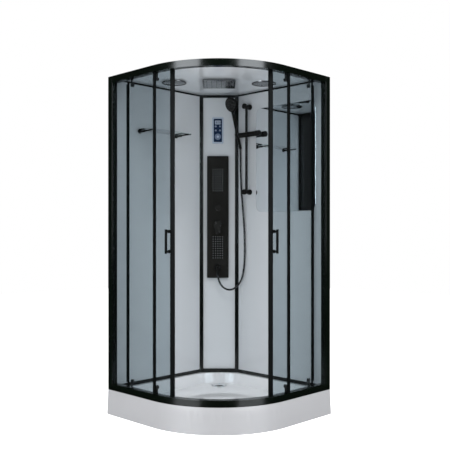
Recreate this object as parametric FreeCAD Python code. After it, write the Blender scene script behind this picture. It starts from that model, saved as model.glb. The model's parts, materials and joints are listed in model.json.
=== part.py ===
import FreeCAD, Part
import math
import os

# Steam shower cabin for a room corner: a quadrant tray, two white back walls with a column across
# the corner, a curved front with two fixed panes and two curved sliding doors, and a roof.
# Millimetres. +Z is up, z = 0 is the floor and the origin is the middle of the footprint.
# The left wall stands on the plane x = back_x, the right wall on y = back_y, and the doors meet
# on the diagonal that leads from the room's corner to the front.

V = FreeCAD.Vector
UP = V(0, 0, 1)
ORIGIN = V(0, 0, 0)
ROOT2 = math.sqrt(2)
os.makedirs("parts", exist_ok=True)

# ---- driving dimensions: overall
cabin_size = 1000.0          # plan of the frame, both ways
corner_radius = 550.0        # outside of the curved front
frame_top = 2145.0           # top of the upper rail
tray_height = 156.0          # floor to the tray's rim
skirt_flare = 8.0            # how far the apron's foot stands out beyond its top

# tray
tray_skin = 6.0
floor_height = 84.0          # standing surface of the basin
rim_land_front = 70.0        # front outline to the basin's upper edge
rim_land_wall = 48.0
basin_draft = 22.0
basin_front_corner = 60.0
basin_back_corner = 245.0
basin_floor_fillet = 14.0
rim_lip_height = 50.0
apron_thickness = 4.0
apron_rib_height = 90.0
apron_rib_depth = 22.0
part_gap = 0.3               # between moulded or curved pieces that lie against each other

# tray frame and feet
tube_size = 25.0
tube_wall = 2.0
frame_edge = 70.0            # room wall to the centre of the wall tubes
cross_tube = 120.0           # distance of the cross tubes from the middle
frame_front = 400.0
cross_front = 330.0
foot_pad_radius = 22.0
foot_pad_height = 12.0
foot_stud_radius = 6.0
foot_nut_height = 8.0

# drain
drain_from_wall = 182.0
drain_hole_radius = 45.0
trap_radius = 52.0
trap_wall = 4.0
trap_bottom = 8.0
waste_radius = 20.0
waste_length = 45.0          # of the spigot that takes the waste pipe
waste_step = 1.5             # spigot's radius over the pipe behind it
waste_setback = 6.0          # spigot's end to the room wall
waste_height = 31.0
drain_cover_radius = 54.0

# back walls and their trims
wall_setback = 20.0          # room wall to the wall panel's face inside the cabin
wall_thickness = 5.0
trim_proud = 2.0
sill_height = 24.0
head_height = 12.0
slot_depth = 10.0
slot_gap = 0.2               # each side of a pane in its slot
roof_drop = 7.0              # top of the upper rail to the roof's underside
roof_thickness = 4.0

# frame profiles
post_width = 42.0
post_depth = 40.0
post_wall = 2.0
rail_depth = 43.0
rail_height = 40.0
rail_wall = 3.0
rail_slot_depth = 12.0
channel_start = 16.0         # front of the roller channel behind the rail's face
fixed_glass_inset = 8.0
fixed_glass_thickness = 5.0
fixed_end_left = 4.0         # end of the fixed pane's stile past the tangent point
fixed_end_right = -42.0
fixed_stile_width = 16.0
fixed_stile_depth = 13.0
fixed_stile_proud = 2.5

# doors, drawn closed around the centre of the curved front
door_inset = 60.0            # front's outline to the outside face of the curved glass
door_glass_thickness = 5.0
door_span = 54.0             # degrees of arc from the meeting line to the trailing edge
door_lap_low = 20.0          # door behind the lower rail
door_lap_high = 15.0         # door behind the upper rail
door_gap = 4.5               # seal's fin to the rails, above and below
door_half_gap = 0.4          # meeting face to the meeting line
door_stile_width = 26.0
door_stile_depth = 16.0
door_seal_width = 15.0
handle_from_edge = 37.0
handle_length = 144.0
handle_height = 1100.0
handle_standoff = 38.0
handle_grip = 13.0
handle_screws = 60.0         # screws above and below the grip's middle
handle_post_radius = 5.0
handle_cap_radius = 10.0
hanger_angles = (14.35, 43.05)
hanger_plate = 3.0
hanger_width = 24.0
clamp_inset = 26.5           # rails to the clamp screws
shoe_drop = 12.0             # top of the lower rail to the guide shoe's middle
shoe_half = 4.0              # of its thickness
shoe_length = 18.0
clamp_radius = 12.0
bolt_radius = 6.0
wheel_radius = 12.0
wheel_width = 8.0
wheel_inset = 32.0           # front's outline to the wheels' middle
axle_radius = 3.0
pole_x = -126.5              # pivot of the door's travel, from the centre of the curved front
pole_y = 485.6
open_left = 17.46            # degrees from closed to the stored position
open_right = 19.72

# column across the room's corner
column_reach = 164.76        # room's corner to the column's face, along the diagonal
column_half = 113.0          # clear half width between the column's posts
column_depth = 32.0
column_post_reach = 218.0    # room wall to the start of the column's posts
panel_setback = 14.0         # column's face to the white panel
panel_thickness = 4.0
column_head_height = 18.0
column_sill_height = 27.0
column_trim_depth = 20.0
panel_slot = 8.0

# shower panel on the column
fitting_u = -9.0             # sideways place of the column's fittings
shower_width = 154.0
shower_bottom = 832.0
shower_top = 1702.0
shower_depth = 22.0
shower_sheet = 2.0
jet_pitch = 16.8
jet_columns = 5
jet_rows = 10
jet_radius = 2.2
jet_length = 3.0
jet_heights = (1530.0, 1050.0)
jet_plate_margin = 8.0
diverter_height = 1334.0
diverter_radius = 23.0
diverter_depth = 24.0
lever_height = 1214.0
lever_radius = 25.0
lever_end_width = 28.0
lever_reach = 71.0
lever_thickness = 9.0
lever_standoff = 26.0
escutcheon_radius = 31.0
escutcheon_height = 6.0
spindle_radius = 9.0
spindle_gap = 0.5            # round the spindles in the shower panel
spindle_end = 26.0           # how far the spindles stand out of the shower panel
spindle_hole_radius = 20.0   # holes in the column's panel behind the shower panel
running_fit = 0.05           # radial, of everything that turns or slides on something
manifold_radius = 14.0
manifold_setback = 26.0
inlet_spread = 30.0
inlet_radius = 10.5
inlet_length = 42.0
inlet_collar = 16.0          # manifold's middle to the start of the inlet's thread
outlet_height = 907.0
outlet_base_radius = 27.0
outlet_pipe_radius = 11.0
outlet_reach = 36.0
outlet_drop = 24.0
steam_slot_width = 60.0

# control unit
control_width = 80.0
control_height = 187.0
control_drop = 252.0         # roof to the control unit's middle
control_depth = 10.0
display_width = 59.0
display_height = 166.0
display_thickness = 1.8
key_radius = 7.0
key_offset = 15.0
key_rises = (29.0, 0.0)      # of the two rows over the control unit's middle
key_travel = 1.2
key_gap = 0.4
key_lip = 1.6
key_flange = 0.8
key_proud = 1.2
ring_drop = 45.0             # control unit's middle to the ring key's
ring_outer = 22.0
ring_inner = 8.0

# riser rail on the right wall
riser_x = -176.0
riser_off_wall = 38.0
riser_top = 2036.0
riser_bottom = 1439.0
riser_radius = 9.0
bracket_end_radius = 19.0
bracket_neck_radius = 14.0
bracket_length = 66.0
bracket_end = 14.0
slider_height = 1840.0
slider_radius = 18.0
slider_left = 66.0
slider_right = 86.0
slider_fit = 0.1
knob_gap = 2.0
knob_length = 36.0
knob_radius = 20.0
knob_stem_radius = 6.0
knob_depth = 20.0            # how far the knob's stem reaches into the arm
holder_offset = 83.0
holder_radius = 20.0
holder_height = 34.0
handset_lean = 17.0          # degrees from upright
handle_top_radius = 13.0
handle_tail_radius = 10.0
handset_reach = 222.0        # holder to the middle of the spray head
handset_tail = 62.0
head_radius = 51.0
head_thickness = 20.0
head_set = 3.0               # head's back edge behind the handle's axis
head_tilt = 70.0             # degrees of the spray's direction from straight down
hose_radius = 7.0
hose_route = (
    (-257.0, 470.5, 1716.0), (-253.0, 467.5, 1635.0), (-247.0, 465.0, 1500.0),
    (-233.0, 467.0, 1350.0), (-219.5, 471.0, 1190.0), (-215.0, 472.0, 1040.0),
    (-219.0, 470.0, 905.0), (-237.0, 460.0, 815.0), (-269.0, 435.0, 762.0),
    (-307.0, 402.0, 746.0), (-341.0, 371.0, 770.0), (-360.0, 354.0, 818.0))

# mirror and shelf
mirror_left = -115.0
mirror_width = 515.0
mirror_bottom = 1297.0
mirror_height = 719.0
mirror_corner = 50.0
mirror_thickness = 5.0
shelf_arm_y = (-258.0, 62.0)
shelf_arm_length = 132.0
shelf_arm_radius = 4.5
shelf_rose_radius = 13.0
shelf_rose_length = 8.0
shelf_overhang = 40.0
shelf_under = 1824.0
shelf_depth = 128.0
shelf_thickness = 5.0
shelf_corner = 30.0
shelf_guard_length = 92.0
shelf_guard_reach = 56.0
shelf_guard_rise = 17.0

# roof fittings
fan_x = -288.0
fan_y = -127.0
speaker_x = 97.0
speaker_y = 320.0
cover_radius = 80.0
cover_thickness = 4.0
fan_hole_radius = 62.0
fan_wall = 3.0
fan_height = 48.0
fan_spigot_radius = 40.0
fan_spigot_length = 25.0
rotor_hub_radius = 17.0
rotor_radius = 55.0
rotor_blades = 7
rotor_height = 18.0
blade_thickness = 1.6
blade_pitch = 35.0
speaker_hole_radius = 56.0
speaker_height = 34.0
rain_width = 210.0
rain_length = 250.0
rain_centre = 132.0
rain_thickness = 8.0
rain_drop = 6.0
rain_pipe_radius = 11.0
rain_columns = 6
rain_rows = 7
rain_pitch = 32.0
fan_air_gap = 5.0            # between the roof and the fan's cover
roof_lap = 10.0              # of the roof under the upper rail's web
rib_height = 12.0
rib_half = 300.0
rib_places = (-230.0, -30.0, 300.0)
screw_radius = 2.0
screw_fractions = (0.15, 0.52, 0.89)    # of the straight runs of the upper rail
screw_angles = (-75.0, -45.0, -15.0)    # on its curve

# steam generator behind the column
steam_width = 120.0
steam_depth = 48.0
steam_bottom = 250.0
steam_height = 270.0
steam_pipe_radius = 8.0
steam_u = 40.0
steam_out_height = 860.0
steam_inlet_radius = 9.0

# ---- planes and centres that follow from them
back_x = -(cabin_size + skirt_flare) / 2
back_y = -back_x
front_x = back_x + cabin_size
front_y = back_y - cabin_size
arc_x = front_x - corner_radius
arc_y = front_y + corner_radius
door_radius = corner_radius - door_inset
wheel_line = corner_radius - wheel_inset
roof_under = frame_top - roof_drop
column_front = ROOT2 * back_y - column_reach
column_post_start = back_y - column_post_reach
control_centre = roof_under - control_drop
key_heights = [control_centre + rise for rise in key_rises]
ring_height = control_centre - ring_drop
wall_in_x = back_x + wall_setback
wall_in_y = back_y - wall_setback
rail_low_top = tray_height + rail_height
rail_high_bottom = frame_top - rail_height
panel_face = column_front + panel_setback
shower_face = panel_face - shower_depth
drain_x = back_x + drain_from_wall
drain_y = back_y - drain_from_wall
door_low = rail_low_top - door_lap_low
door_high = rail_high_bottom + door_lap_high
clamp_heights = (rail_low_top + clamp_inset, rail_high_bottom - clamp_inset)
wheel_height = rail_high_bottom + rail_wall + wheel_radius + 0.2
shoe_height = rail_low_top - shoe_drop
handle_angle = math.degrees(handle_from_edge / door_radius)
handle_screw_heights = (handle_height - handle_screws, handle_height + handle_screws)


def box(x0, x1, y0, y1, z0, z1):
    """Block between two corners."""
    return Part.makeBox(x1 - x0, y1 - y0, z1 - z0, V(x0, y0, z0))


def rod(start, end, radius):
    """Round bar between two points."""
    axis = end - start
    return Part.makeCylinder(radius, axis.Length, start, axis)


def rounded_wire(corners, z):
    """Closed outline through (x, y, radius) corners, each rounded by its own radius."""
    edges = []
    joins = []
    count = len(corners)
    for i, (x, y, radius) in enumerate(corners):
        here = V(x, y, z)
        before = (V(corners[i - 1][0], corners[i - 1][1], z) - here).normalize()
        after = (V(corners[(i + 1) % count][0], corners[(i + 1) % count][1], z) - here).normalize()
        half = before.getAngle(after) / 2
        reach = radius / math.tan(half)
        middle = (before + after).normalize()
        top = here + middle * (radius / math.sin(half) - radius)
        joins.append((here + before * reach, top, here + after * reach, radius))
    for i, (start, top, end, radius) in enumerate(joins):
        last_end = joins[i - 1][2]
        if (start - last_end).Length > 1e-6:
            edges.append(Part.LineSegment(last_end, start).toShape())
        if radius > 0:
            edges.append(Part.Arc(start, top, end).toShape())
    return Part.Wire(edges)


def slab(wire, height):
    """Flat plate of an outline, raised by a height."""
    return Part.Face(wire).extrude(V(0, 0, height))


def plan(front_inset, back_inset, z, small=0.0, corner=0.0):
    """The cabin's plan outline, drawn in from the front and from the room's walls."""
    left = back_x + back_inset
    right = front_x - front_inset
    front = front_y + front_inset
    back = back_y - back_inset
    big = corner_radius - front_inset
    return rounded_wire([(left, front, small), (right, front, big), (right, back, small),
                         (left, back, corner)], z)


def front_band(outer, inner, z0, z1):
    """Upright band that follows the front between two insets, from post to post."""
    whole = slab(plan(outer, post_width, z0), z1 - z0)
    return whole.cut(slab(plan(inner, -post_width, z0 - 1), z1 - z0 + 2))


def mirrored(shape):
    """The same piece on the other side of the cabin's diagonal."""
    return shape.mirror(ORIGIN, V(1, 1, 0))


def diagonal(shape):
    """Moves a piece drawn with u along X and depth v along Y onto the cabin's diagonal."""
    turned = shape.copy()
    turned.rotate(ORIGIN, UP, 45)
    return turned


def uv(u, v, z):
    """Point at u across the diagonal and v along it."""
    return V((u - v) / ROOT2, (u + v) / ROOT2, z)


def export(name, *solids):
    """Writes one node."""
    shape = solids[0] if len(solids) == 1 else Part.makeCompound(list(solids))
    if not shape.isValid():
        print("not valid:", name)
    shape.exportStep("parts/" + name + ".step")
    print(f"{name:22s} solids {len(shape.Solids)}  volume {shape.Volume / 1000:.1f} cm3")
    return shape


# ---- tray group

def make_tray():
    """Acrylic tray: flat rim, drawn basin with a drain hole, and a turned-down lip at the walls."""
    rim_under = tray_height - tray_skin
    front = apron_thickness + part_gap
    rim = slab(plan(front, 0, rim_under), tray_skin)
    lip_low = rim_under - rim_lip_height
    lip = slab(plan(front, 0, lip_low), rim_lip_height)
    lip = lip.cut(slab(plan(-1, tray_skin, lip_low), rim_lip_height))

    def bowl(skin):
        top_land = rim_land_front - skin
        wall_land = rim_land_wall - skin
        top = plan(top_land, wall_land, tray_height, basin_front_corner, basin_back_corner)
        low = plan(top_land + basin_draft, wall_land + basin_draft, floor_height - skin,
                   basin_front_corner - basin_draft, basin_back_corner - basin_draft)
        return Part.makeLoft([low, top], True, True)

    inside = bowl(0)
    floor_edges = [e for e in inside.Edges if e.BoundBox.ZMax < floor_height + 0.1]
    inside = inside.makeFillet(basin_floor_fillet, floor_edges)
    shell = rim.fuse([bowl(tray_skin), lip]).cut(inside)
    drain = rod(V(drain_x, drain_y, 0), V(drain_x, drain_y, tray_height), drain_hole_radius)
    return shell.cut(drain).removeSplitter()


def make_apron():
    """Curved skirt that leans out to its foot, with a stiffening rib behind."""
    outer = Part.makeLoft([plan(-skirt_flare, 0, 0), plan(0, 0, tray_height)], True, True)
    inner = Part.makeLoft([plan(apron_thickness - skirt_flare, -1, 0),
                           plan(apron_thickness, -1, tray_height)], True, True)
    rib = slab(plan(0, 0, apron_rib_height), apron_thickness)
    rib = rib.cut(slab(plan(apron_rib_depth, -1, apron_rib_height - 1), apron_thickness + 2))
    return outer.cut(inner).fuse(rib).removeSplitter()


def make_tray_frame():
    """Welded frame of square tubes under the basin."""
    top = floor_height - tray_skin
    low = top - tube_size
    half = tube_size / 2
    edge = back_x + frame_edge

    def tube(x, y0, y1):
        bar = box(x - half, x + half, y0, y1, low, top)
        inner = half - tube_wall
        return bar, box(x - inner, x + inner, y0 - 1, y1 + 1, low + tube_wall, top - tube_wall)

    wall_bar = tube(edge, -frame_front, -edge + half)
    cross_bar = tube(cross_tube, -cross_front, -edge + half)
    bars = [wall_bar[0], cross_bar[0], mirrored(wall_bar[0]), mirrored(cross_bar[0])]
    hollows = [wall_bar[1], cross_bar[1], mirrored(wall_bar[1]), mirrored(cross_bar[1])]
    return bars[0].fuse(bars[1:]).cut(hollows).removeSplitter()


def make_feet():
    """Levelling feet: pad, stud and lock nut under each end of the frame."""
    under = floor_height - tray_skin - tube_size
    edge = back_x + frame_edge
    spots = [(edge, -edge), (edge, 20 - frame_front), (frame_front - 20, -edge),
             (cross_tube, 20 - cross_front), (cross_front - 20, -cross_tube)]
    feet = []
    for x, y in spots:
        pad = Part.makeCone(foot_pad_radius, foot_pad_radius - 6, foot_pad_height, V(x, y, 0))
        stud = rod(V(x, y, foot_pad_height - 1), V(x, y, under), foot_stud_radius)
        across = foot_stud_radius * 1.9
        hexagon = [(x + across * math.cos(math.radians(60 * i)),
                    y + across * math.sin(math.radians(60 * i)), 0) for i in range(6)]
        nut = slab(rounded_wire(hexagon, under - foot_nut_height), foot_nut_height)
        feet.append(pad.fuse([stud, nut]).removeSplitter())
    return feet


def make_drain_trap():
    """Waste trap clamped through the drain hole, with its outlet towards the right wall."""
    under = floor_height - tray_skin
    here = V(drain_x, drain_y, 0)
    neck = drain_hole_radius - 1
    body = rod(here + V(0, 0, trap_bottom), here + V(0, 0, under), trap_radius)
    body = body.fuse([rod(here + UP * under, here + UP * floor_height, neck),
                      rod(here + UP * floor_height, here + UP * (floor_height + 2),
                          drain_hole_radius + 9)])
    outlet_start = V(drain_x, drain_y, waste_height)
    outlet_end = V(drain_x, back_y - waste_setback, waste_height)
    spigot_start = outlet_end - V(0, waste_length, 0)
    outlet = [rod(outlet_start, spigot_start, waste_radius - waste_step),
              rod(spigot_start, outlet_end, waste_radius)]
    hollow = rod(here + UP * (trap_bottom + trap_wall), here + UP * (floor_height + 3),
                 neck - trap_wall)
    bore = rod(outlet_start, outlet_end + V(0, 1, 0), waste_radius - waste_step - trap_wall / 2)
    return body.fuse(outlet).cut([hollow, bore]).removeSplitter()


def make_drain_cover():
    """Domed cover with a ring of notches, lifted out for cleaning."""
    low = floor_height + 2.2
    rise = 5.0
    edge = 4.0
    sphere = (drain_cover_radius ** 2 + rise ** 2) / (2 * rise)

    def dome(radius, top):
        centre = V(drain_x, drain_y, top - sphere)
        cap = Part.makeSphere(sphere, centre)
        return cap.common(rod(V(drain_x, drain_y, low), V(drain_x, drain_y, top + 1), radius))

    cover = dome(drain_cover_radius, low + edge + rise)
    cover = cover.cut(dome(drain_cover_radius - 2, low + edge + rise - 2))
    notches = []
    for i in range(12):
        notch = box(drain_x + 6, drain_x + drain_cover_radius + 1, drain_y - 5, drain_y + 5,
                    low - 1, low + edge - 1)
        notch.rotate(V(drain_x, drain_y, 0), UP, 30 * i)
        notches.append(notch)
    knob = rod(V(drain_x, drain_y, low + edge), V(drain_x, drain_y, low + edge + rise + 2), 7)
    return cover.fuse(knob).cut(notches).removeSplitter()


# ---- back walls

def make_wall():
    """Left wall panel, standing in the slots of its frame."""
    outer = wall_in_x - wall_thickness
    front = front_y + post_depth - slot_depth + 0.5
    back = column_post_start + slot_depth - 0.5
    low = tray_height + sill_height - slot_depth
    high = roof_under - head_height + slot_depth - 2.5
    return box(outer, wall_in_x, front, back, low, high)


def wall_slot(y0, y1, z0, z1):
    """Space for the left wall panel's edge."""
    return box(wall_in_x - wall_thickness - slot_gap, wall_in_x + slot_gap, y0, y1, z0, z1)


def make_wall_trims():
    """Sill and head profiles of the left wall."""
    front = front_y + post_depth
    face = wall_in_x + trim_proud
    sill_top = tray_height + sill_height
    sill = box(back_x, face, front, column_post_start, tray_height, sill_top)
    sill = sill.cut([wall_slot(front, column_post_start, sill_top - slot_depth, sill_top),
                     box(back_x, wall_in_x - wall_thickness - 2, front, column_post_start,
                         tray_height + 3, sill_top - 3)])
    head_low = roof_under - head_height
    head = box(back_x, face, front, column_post_start, head_low, roof_under)
    head = head.cut(wall_slot(front, column_post_start, head_low, roof_under - 2))
    return sill, head


def make_corner_post():
    """Upright at the left wall's front end, slotted for the wall panel and the fixed pane."""
    x1 = back_x + post_width
    y1 = front_y + post_depth
    post = box(back_x, x1, front_y, y1, tray_height, frame_top)
    inset = fixed_glass_inset
    glass = fixed_glass_thickness
    pane = box(x1 - slot_depth, x1, front_y + inset - slot_gap, front_y + inset + glass + slot_gap,
               tray_height, frame_top)
    panel = wall_slot(y1 - slot_depth, y1, tray_height, frame_top)
    web = slot_depth + post_wall
    hollow = box(wall_in_x + slot_gap + post_wall, x1 - web,
                 front_y + post_wall, y1 - post_wall, tray_height, frame_top - post_wall)
    return post.cut([pane, panel, hollow])


# ---- column across the corner

def make_column_post():
    """Left upright of the column: a cheek on the wall panel and a face across the corner."""
    lip_x = wall_in_x + trim_proud
    lip_y = ROOT2 * column_front + lip_x
    inner = uv(-column_half, column_front, 0)
    heel = uv(-column_half, column_front + column_depth, 0)
    points = [(back_x, column_post_start, 0), (lip_x, column_post_start, 0), (lip_x, lip_y, 0),
              (inner.x, inner.y, 0), (heel.x, heel.y, 0), (back_x, heel.y, 0)]
    post = slab(rounded_wire(points, tray_height), roof_under - tray_height)
    seat = wall_slot(column_post_start, column_post_start + slot_depth, tray_height, roof_under)
    groove = diagonal(box(-column_half - panel_slot - 0.5, -column_half, panel_face - slot_gap,
                          panel_face + panel_thickness + slot_gap, tray_height, roof_under))
    return post.cut([seat, groove])


def make_column_trims():
    """Head and sill of the column, between its posts."""
    back = column_front + column_trim_depth
    trims = []
    for z0, z1, open_up in ((tray_height, tray_height + column_sill_height, True),
                            (roof_under - column_head_height, roof_under, False)):
        bar = box(-column_half, column_half, column_front + 2, back, z0, z1)
        slot = (z1 - panel_slot - 0.5, z1) if open_up else (z0, z0 + panel_slot + 0.5)
        bar = bar.cut(box(-column_half, column_half, panel_face - slot_gap,
                          panel_face + panel_thickness + slot_gap, *slot))
        trims.append(diagonal(bar))
    return trims


def make_column_panel():
    """White panel of the column, holed for the mixer's spindles and the outlet."""
    half = column_half + panel_slot
    low = tray_height + column_sill_height - panel_slot
    high = roof_under - column_head_height + panel_slot
    panel = box(-half, half, panel_face, panel_face + panel_thickness, low, high)
    holes = [spindle_hole(z, panel_face - 1, panel_face + panel_thickness + 1)
             for z in (diverter_height, lever_height, outlet_height)]
    holes.append(box(steam_u - steam_pipe_radius - 1, steam_u + steam_pipe_radius + 1,
                     panel_face - 1, panel_face + panel_thickness + 1,
                     steam_out_height - steam_pipe_radius - 1,
                     steam_out_height + steam_pipe_radius + 1))
    return diagonal(panel.cut(holes))


def spindle_hole(z, v0, v1):
    """Hole along the diagonal for a spindle or a pipe."""
    return rod(V(fitting_u, v0, z), V(fitting_u, v1, z), spindle_hole_radius)


# ---- frame of the front

def make_rail(z0, opens_up):
    """Curved rail from post to post: solid nose with the pane's slot, channel open inside."""
    z1 = z0 + rail_height
    rail = front_band(0, rail_depth, z0, z1)
    slot = (z1 - rail_slot_depth, z1 + 1) if opens_up else (z0 - 1, z0 + rail_slot_depth)
    pane = front_band(fixed_glass_inset - slot_gap,
                      fixed_glass_inset + fixed_glass_thickness + slot_gap, *slot)
    channel = front_band(channel_start, rail_depth + 1, z0 + rail_wall, z1 - rail_wall)
    rail = rail.cut([pane, channel])
    if not opens_up:
        rail = rail.cut([rod(V(x, y, z1 - 10), V(x, y, z1 + 1), screw_radius)
                         for x, y in screw_spots()])
    return rail.removeSplitter()


def make_fixed_pane(end_x):
    """Flat pane between the left corner post and its stile near the start of the curve."""
    y0 = front_y + fixed_glass_inset
    low = rail_low_top - rail_slot_depth
    high = rail_high_bottom + rail_slot_depth - 3
    x0 = back_x + post_width - slot_depth + 0.5
    return box(x0, end_x - 3, y0, y0 + fixed_glass_thickness, low, high)


def make_fixed_stile(end_x):
    """Slim profile with the pane's free edge in its slot."""
    y0 = front_y + fixed_glass_inset - fixed_stile_proud
    stile = box(end_x - fixed_stile_width, end_x, y0, y0 + fixed_stile_depth,
                rail_low_top, rail_high_bottom)
    seat = front_y + fixed_glass_inset
    slot = box(end_x - fixed_stile_width, end_x - 3 + slot_gap, seat - slot_gap,
               seat + fixed_glass_thickness + slot_gap, rail_low_top, rail_high_bottom)
    return stile.cut(slot)


# ---- doors: drawn closed on the left side, about the centre of the curved front

def arc_band(r0, r1, angle0, angle1, z0, z1):
    """Curved wall between two radii, from angle0 to angle1 degrees left of the meeting line."""
    centre = V(arc_x, arc_y, z0)
    outer = Part.makeCylinder(r1, z1 - z0, centre, UP, angle1 - angle0)
    outer.rotate(centre, UP, -45 - angle1)
    return outer.cut(Part.makeCylinder(r0, z1 - z0, centre, UP))


def on_arc(shape, angle):
    """Puts a piece drawn at radius -Y, with +X towards the meeting line, at its angle."""
    placed = shape.copy()
    placed.rotate(ORIGIN, UP, 45 - angle)
    placed.translate(V(arc_x, arc_y, 0))
    return placed


def opened(shape, angle):
    """Swings a closed left door piece open about the pivot of its travel."""
    swung = shape.copy()
    swung.rotate(V(arc_x + pole_x, arc_y + pole_y, 0), UP, -angle)
    return swung


def glass_angle(width):
    """Angle that a width takes up along the curved glass."""
    return math.degrees(width / (door_radius - door_glass_thickness / 2))


def make_door_glass():
    """Curved pane with holes for the handle's screws and the roller clamps."""
    start = glass_angle(door_stile_width - 10)
    inner = door_radius - door_glass_thickness
    pane = arc_band(inner, door_radius, start, door_span, door_low, door_high)
    holes = []
    for z in handle_screw_heights:
        holes.append(on_arc(rod(V(0, 10 - inner, z), V(0, -door_radius - 10, z),
                                handle_post_radius + 0.5), handle_angle))
    for angle in hanger_angles:
        for z in clamp_heights:
            holes.append(on_arc(rod(V(0, 10 - inner, z), V(0, -door_radius - 10, z),
                                    bolt_radius + 0.5), angle))
    return pane.cut(holes)


def make_door_stile():
    """Leading profile with its magnetic edge, meeting the other door on the diagonal."""
    middle = door_radius - door_glass_thickness / 2
    outer = middle + door_stile_depth / 2
    bar = on_arc(box(-door_stile_width, -door_half_gap, -outer, door_stile_depth - outer,
                     door_low - 2, door_high + 2), 0)
    seat = arc_band(door_radius - door_glass_thickness - slot_gap, door_radius + slot_gap,
                    glass_angle(door_stile_width - 10.5), door_span, door_low - 3, door_high + 3)
    return bar.cut(seat)


def make_door_seal():
    """Trailing profile on the pane's other edge, with a soft fin towards the fixed pane."""
    inner = door_radius - door_glass_thickness
    width = glass_angle(door_seal_width)
    start = door_span - width + glass_angle(3)
    end = start + width
    bar = arc_band(inner - 3, door_radius + 3, start, end, door_low, door_high)
    fin = arc_band(door_radius, door_radius + 9, end - glass_angle(2), end,
                   rail_low_top + door_gap, rail_high_bottom - door_gap)
    seat = arc_band(inner - slot_gap, door_radius + slot_gap, start - 1,
                    door_span + glass_angle(0.3), door_low - 1, door_high + 1)
    return bar.fuse(fin).cut(seat).removeSplitter()


def make_door_handle():
    """Upright grip on two posts, screwed through the glass to caps inside."""
    reach = door_radius + handle_standoff
    half = handle_grip / 2
    low = handle_height - handle_length / 2
    grip = box(-half, half, -reach - half, half - reach, low, low + handle_length)
    long_edges = [e for e in grip.Edges if e.BoundBox.ZLength > handle_length - 1]
    grip = grip.makeFillet(3, long_edges)
    parts = []
    inside = door_radius - door_glass_thickness
    for z in handle_screw_heights:
        parts.append(rod(V(0, -reach, z), V(0, 6 - inside, z), handle_post_radius))
        parts.append(rod(V(0, -inside + 0.5, z), V(0, 6 - inside, z), handle_cap_radius))
        parts.append(rod(V(0, -door_radius - 4, z), V(0, -door_radius - 0.5, z),
                         handle_cap_radius))
    return on_arc(grip.fuse(parts).removeSplitter(), handle_angle)


def make_hanger(angle, at_top):
    """Roller bracket: plate and clamp on the glass, and the wheel's axle or the guide shoe."""
    plate_in = door_radius + part_gap
    plate_out = plate_in + hanger_plate
    half = hanger_width / 2
    inside = door_radius - door_glass_thickness
    end = wheel_line + wheel_width / 2
    if at_top:
        clamp_z = clamp_heights[1]
        plate = (clamp_z - half, wheel_height + 7)
        pin_z = wheel_height
    else:
        clamp_z = clamp_heights[0]
        plate = (shoe_height - 7, clamp_z + half)
        pin_z = shoe_height
    body = box(-half, half, -plate_out, -plate_in, *plate)
    corners = [e for e in body.Edges if e.BoundBox.YLength > hanger_plate - 0.1]
    body = body.makeFillet(6, corners)
    pieces = [rod(V(0, -plate_out, clamp_z), V(0, 6 - inside, clamp_z), bolt_radius),
              rod(V(0, -inside + 0.6, clamp_z), V(0, 6 - inside, clamp_z), clamp_radius),
              rod(V(0, -plate_out - 4, clamp_z), V(0, -plate_out, clamp_z), clamp_radius - 3)]
    if at_top:
        shoulder = wheel_line - wheel_width / 2 - 0.5
        pieces.append(rod(V(0, 0.2 - end, pin_z), V(0, -plate_out, pin_z), axle_radius))
        pieces.append(rod(V(0, -shoulder, pin_z), V(0, -plate_out, pin_z), axle_radius + 2.5))
        pieces.append(rod(V(0, 0.2 - end, pin_z), V(0, 2.2 - end, pin_z), axle_radius + 2))
    else:
        neck = box(-7, 7, -wheel_line, -plate_out, pin_z - 4, pin_z + 4)
        shoe = box(-shoe_length / 2, shoe_length / 2, -wheel_line - shoe_half,
                   shoe_half - wheel_line, pin_z - 7, pin_z + 7)
        ends = [e for e in shoe.Edges if e.BoundBox.YLength > 2 * shoe_half - 0.1]
        pieces += [neck, shoe.makeFillet(5, ends)]
    return on_arc(body.fuse(pieces).removeSplitter(), angle)


def make_wheel(angle):
    """Roller wheel on its axle, dished on both sides."""
    w = wheel_width / 2
    rim = wheel_radius
    bore = axle_radius + running_fit
    profile = [(bore, 2.5 - w), (rim - 3, 2.5 - w), (rim - 3, -w), (rim - 0.8, -w),
               (rim, 0.8 - w), (rim, w - 0.8), (rim - 0.8, w), (rim - 3, w), (rim - 3, w - 1.5),
               (bore + 3, w - 1.5), (bore + 3, w), (bore, w)]
    outline = Part.makePolygon([V(r, y, 0) for r, y in profile + profile[:1]])
    wheel = Part.Face(outline).revolve(ORIGIN, V(0, 1, 0), 360)
    wheel.translate(V(0, -wheel_line, wheel_height))
    return on_arc(wheel, angle)


# ---- shower panel, mixer and control unit, drawn with u along X and depth along Y

def rounded_plate(u_mid, width, z0, z1, v0, v1, radius):
    """Upright plate with rounded corners, facing along the diagonal."""
    half = width / 2
    corners = [(u_mid - half, -z1, radius), (u_mid + half, -z1, radius),
               (u_mid + half, -z0, radius), (u_mid - half, -z0, radius)]
    plate = slab(rounded_wire(corners, v0), v1 - v0)
    plate.rotate(ORIGIN, V(1, 0, 0), -90)
    return plate


def jet_window(height, margin, v0, v1):
    """Block the size of one jet field, grown by a margin."""
    half_u = jet_pitch * (jet_columns - 1) / 2 + margin
    half_z = jet_pitch * (jet_rows - 1) / 2 + margin
    return box(fitting_u - half_u, fitting_u + half_u, v0, v1, height - half_z, height + half_z)


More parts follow.
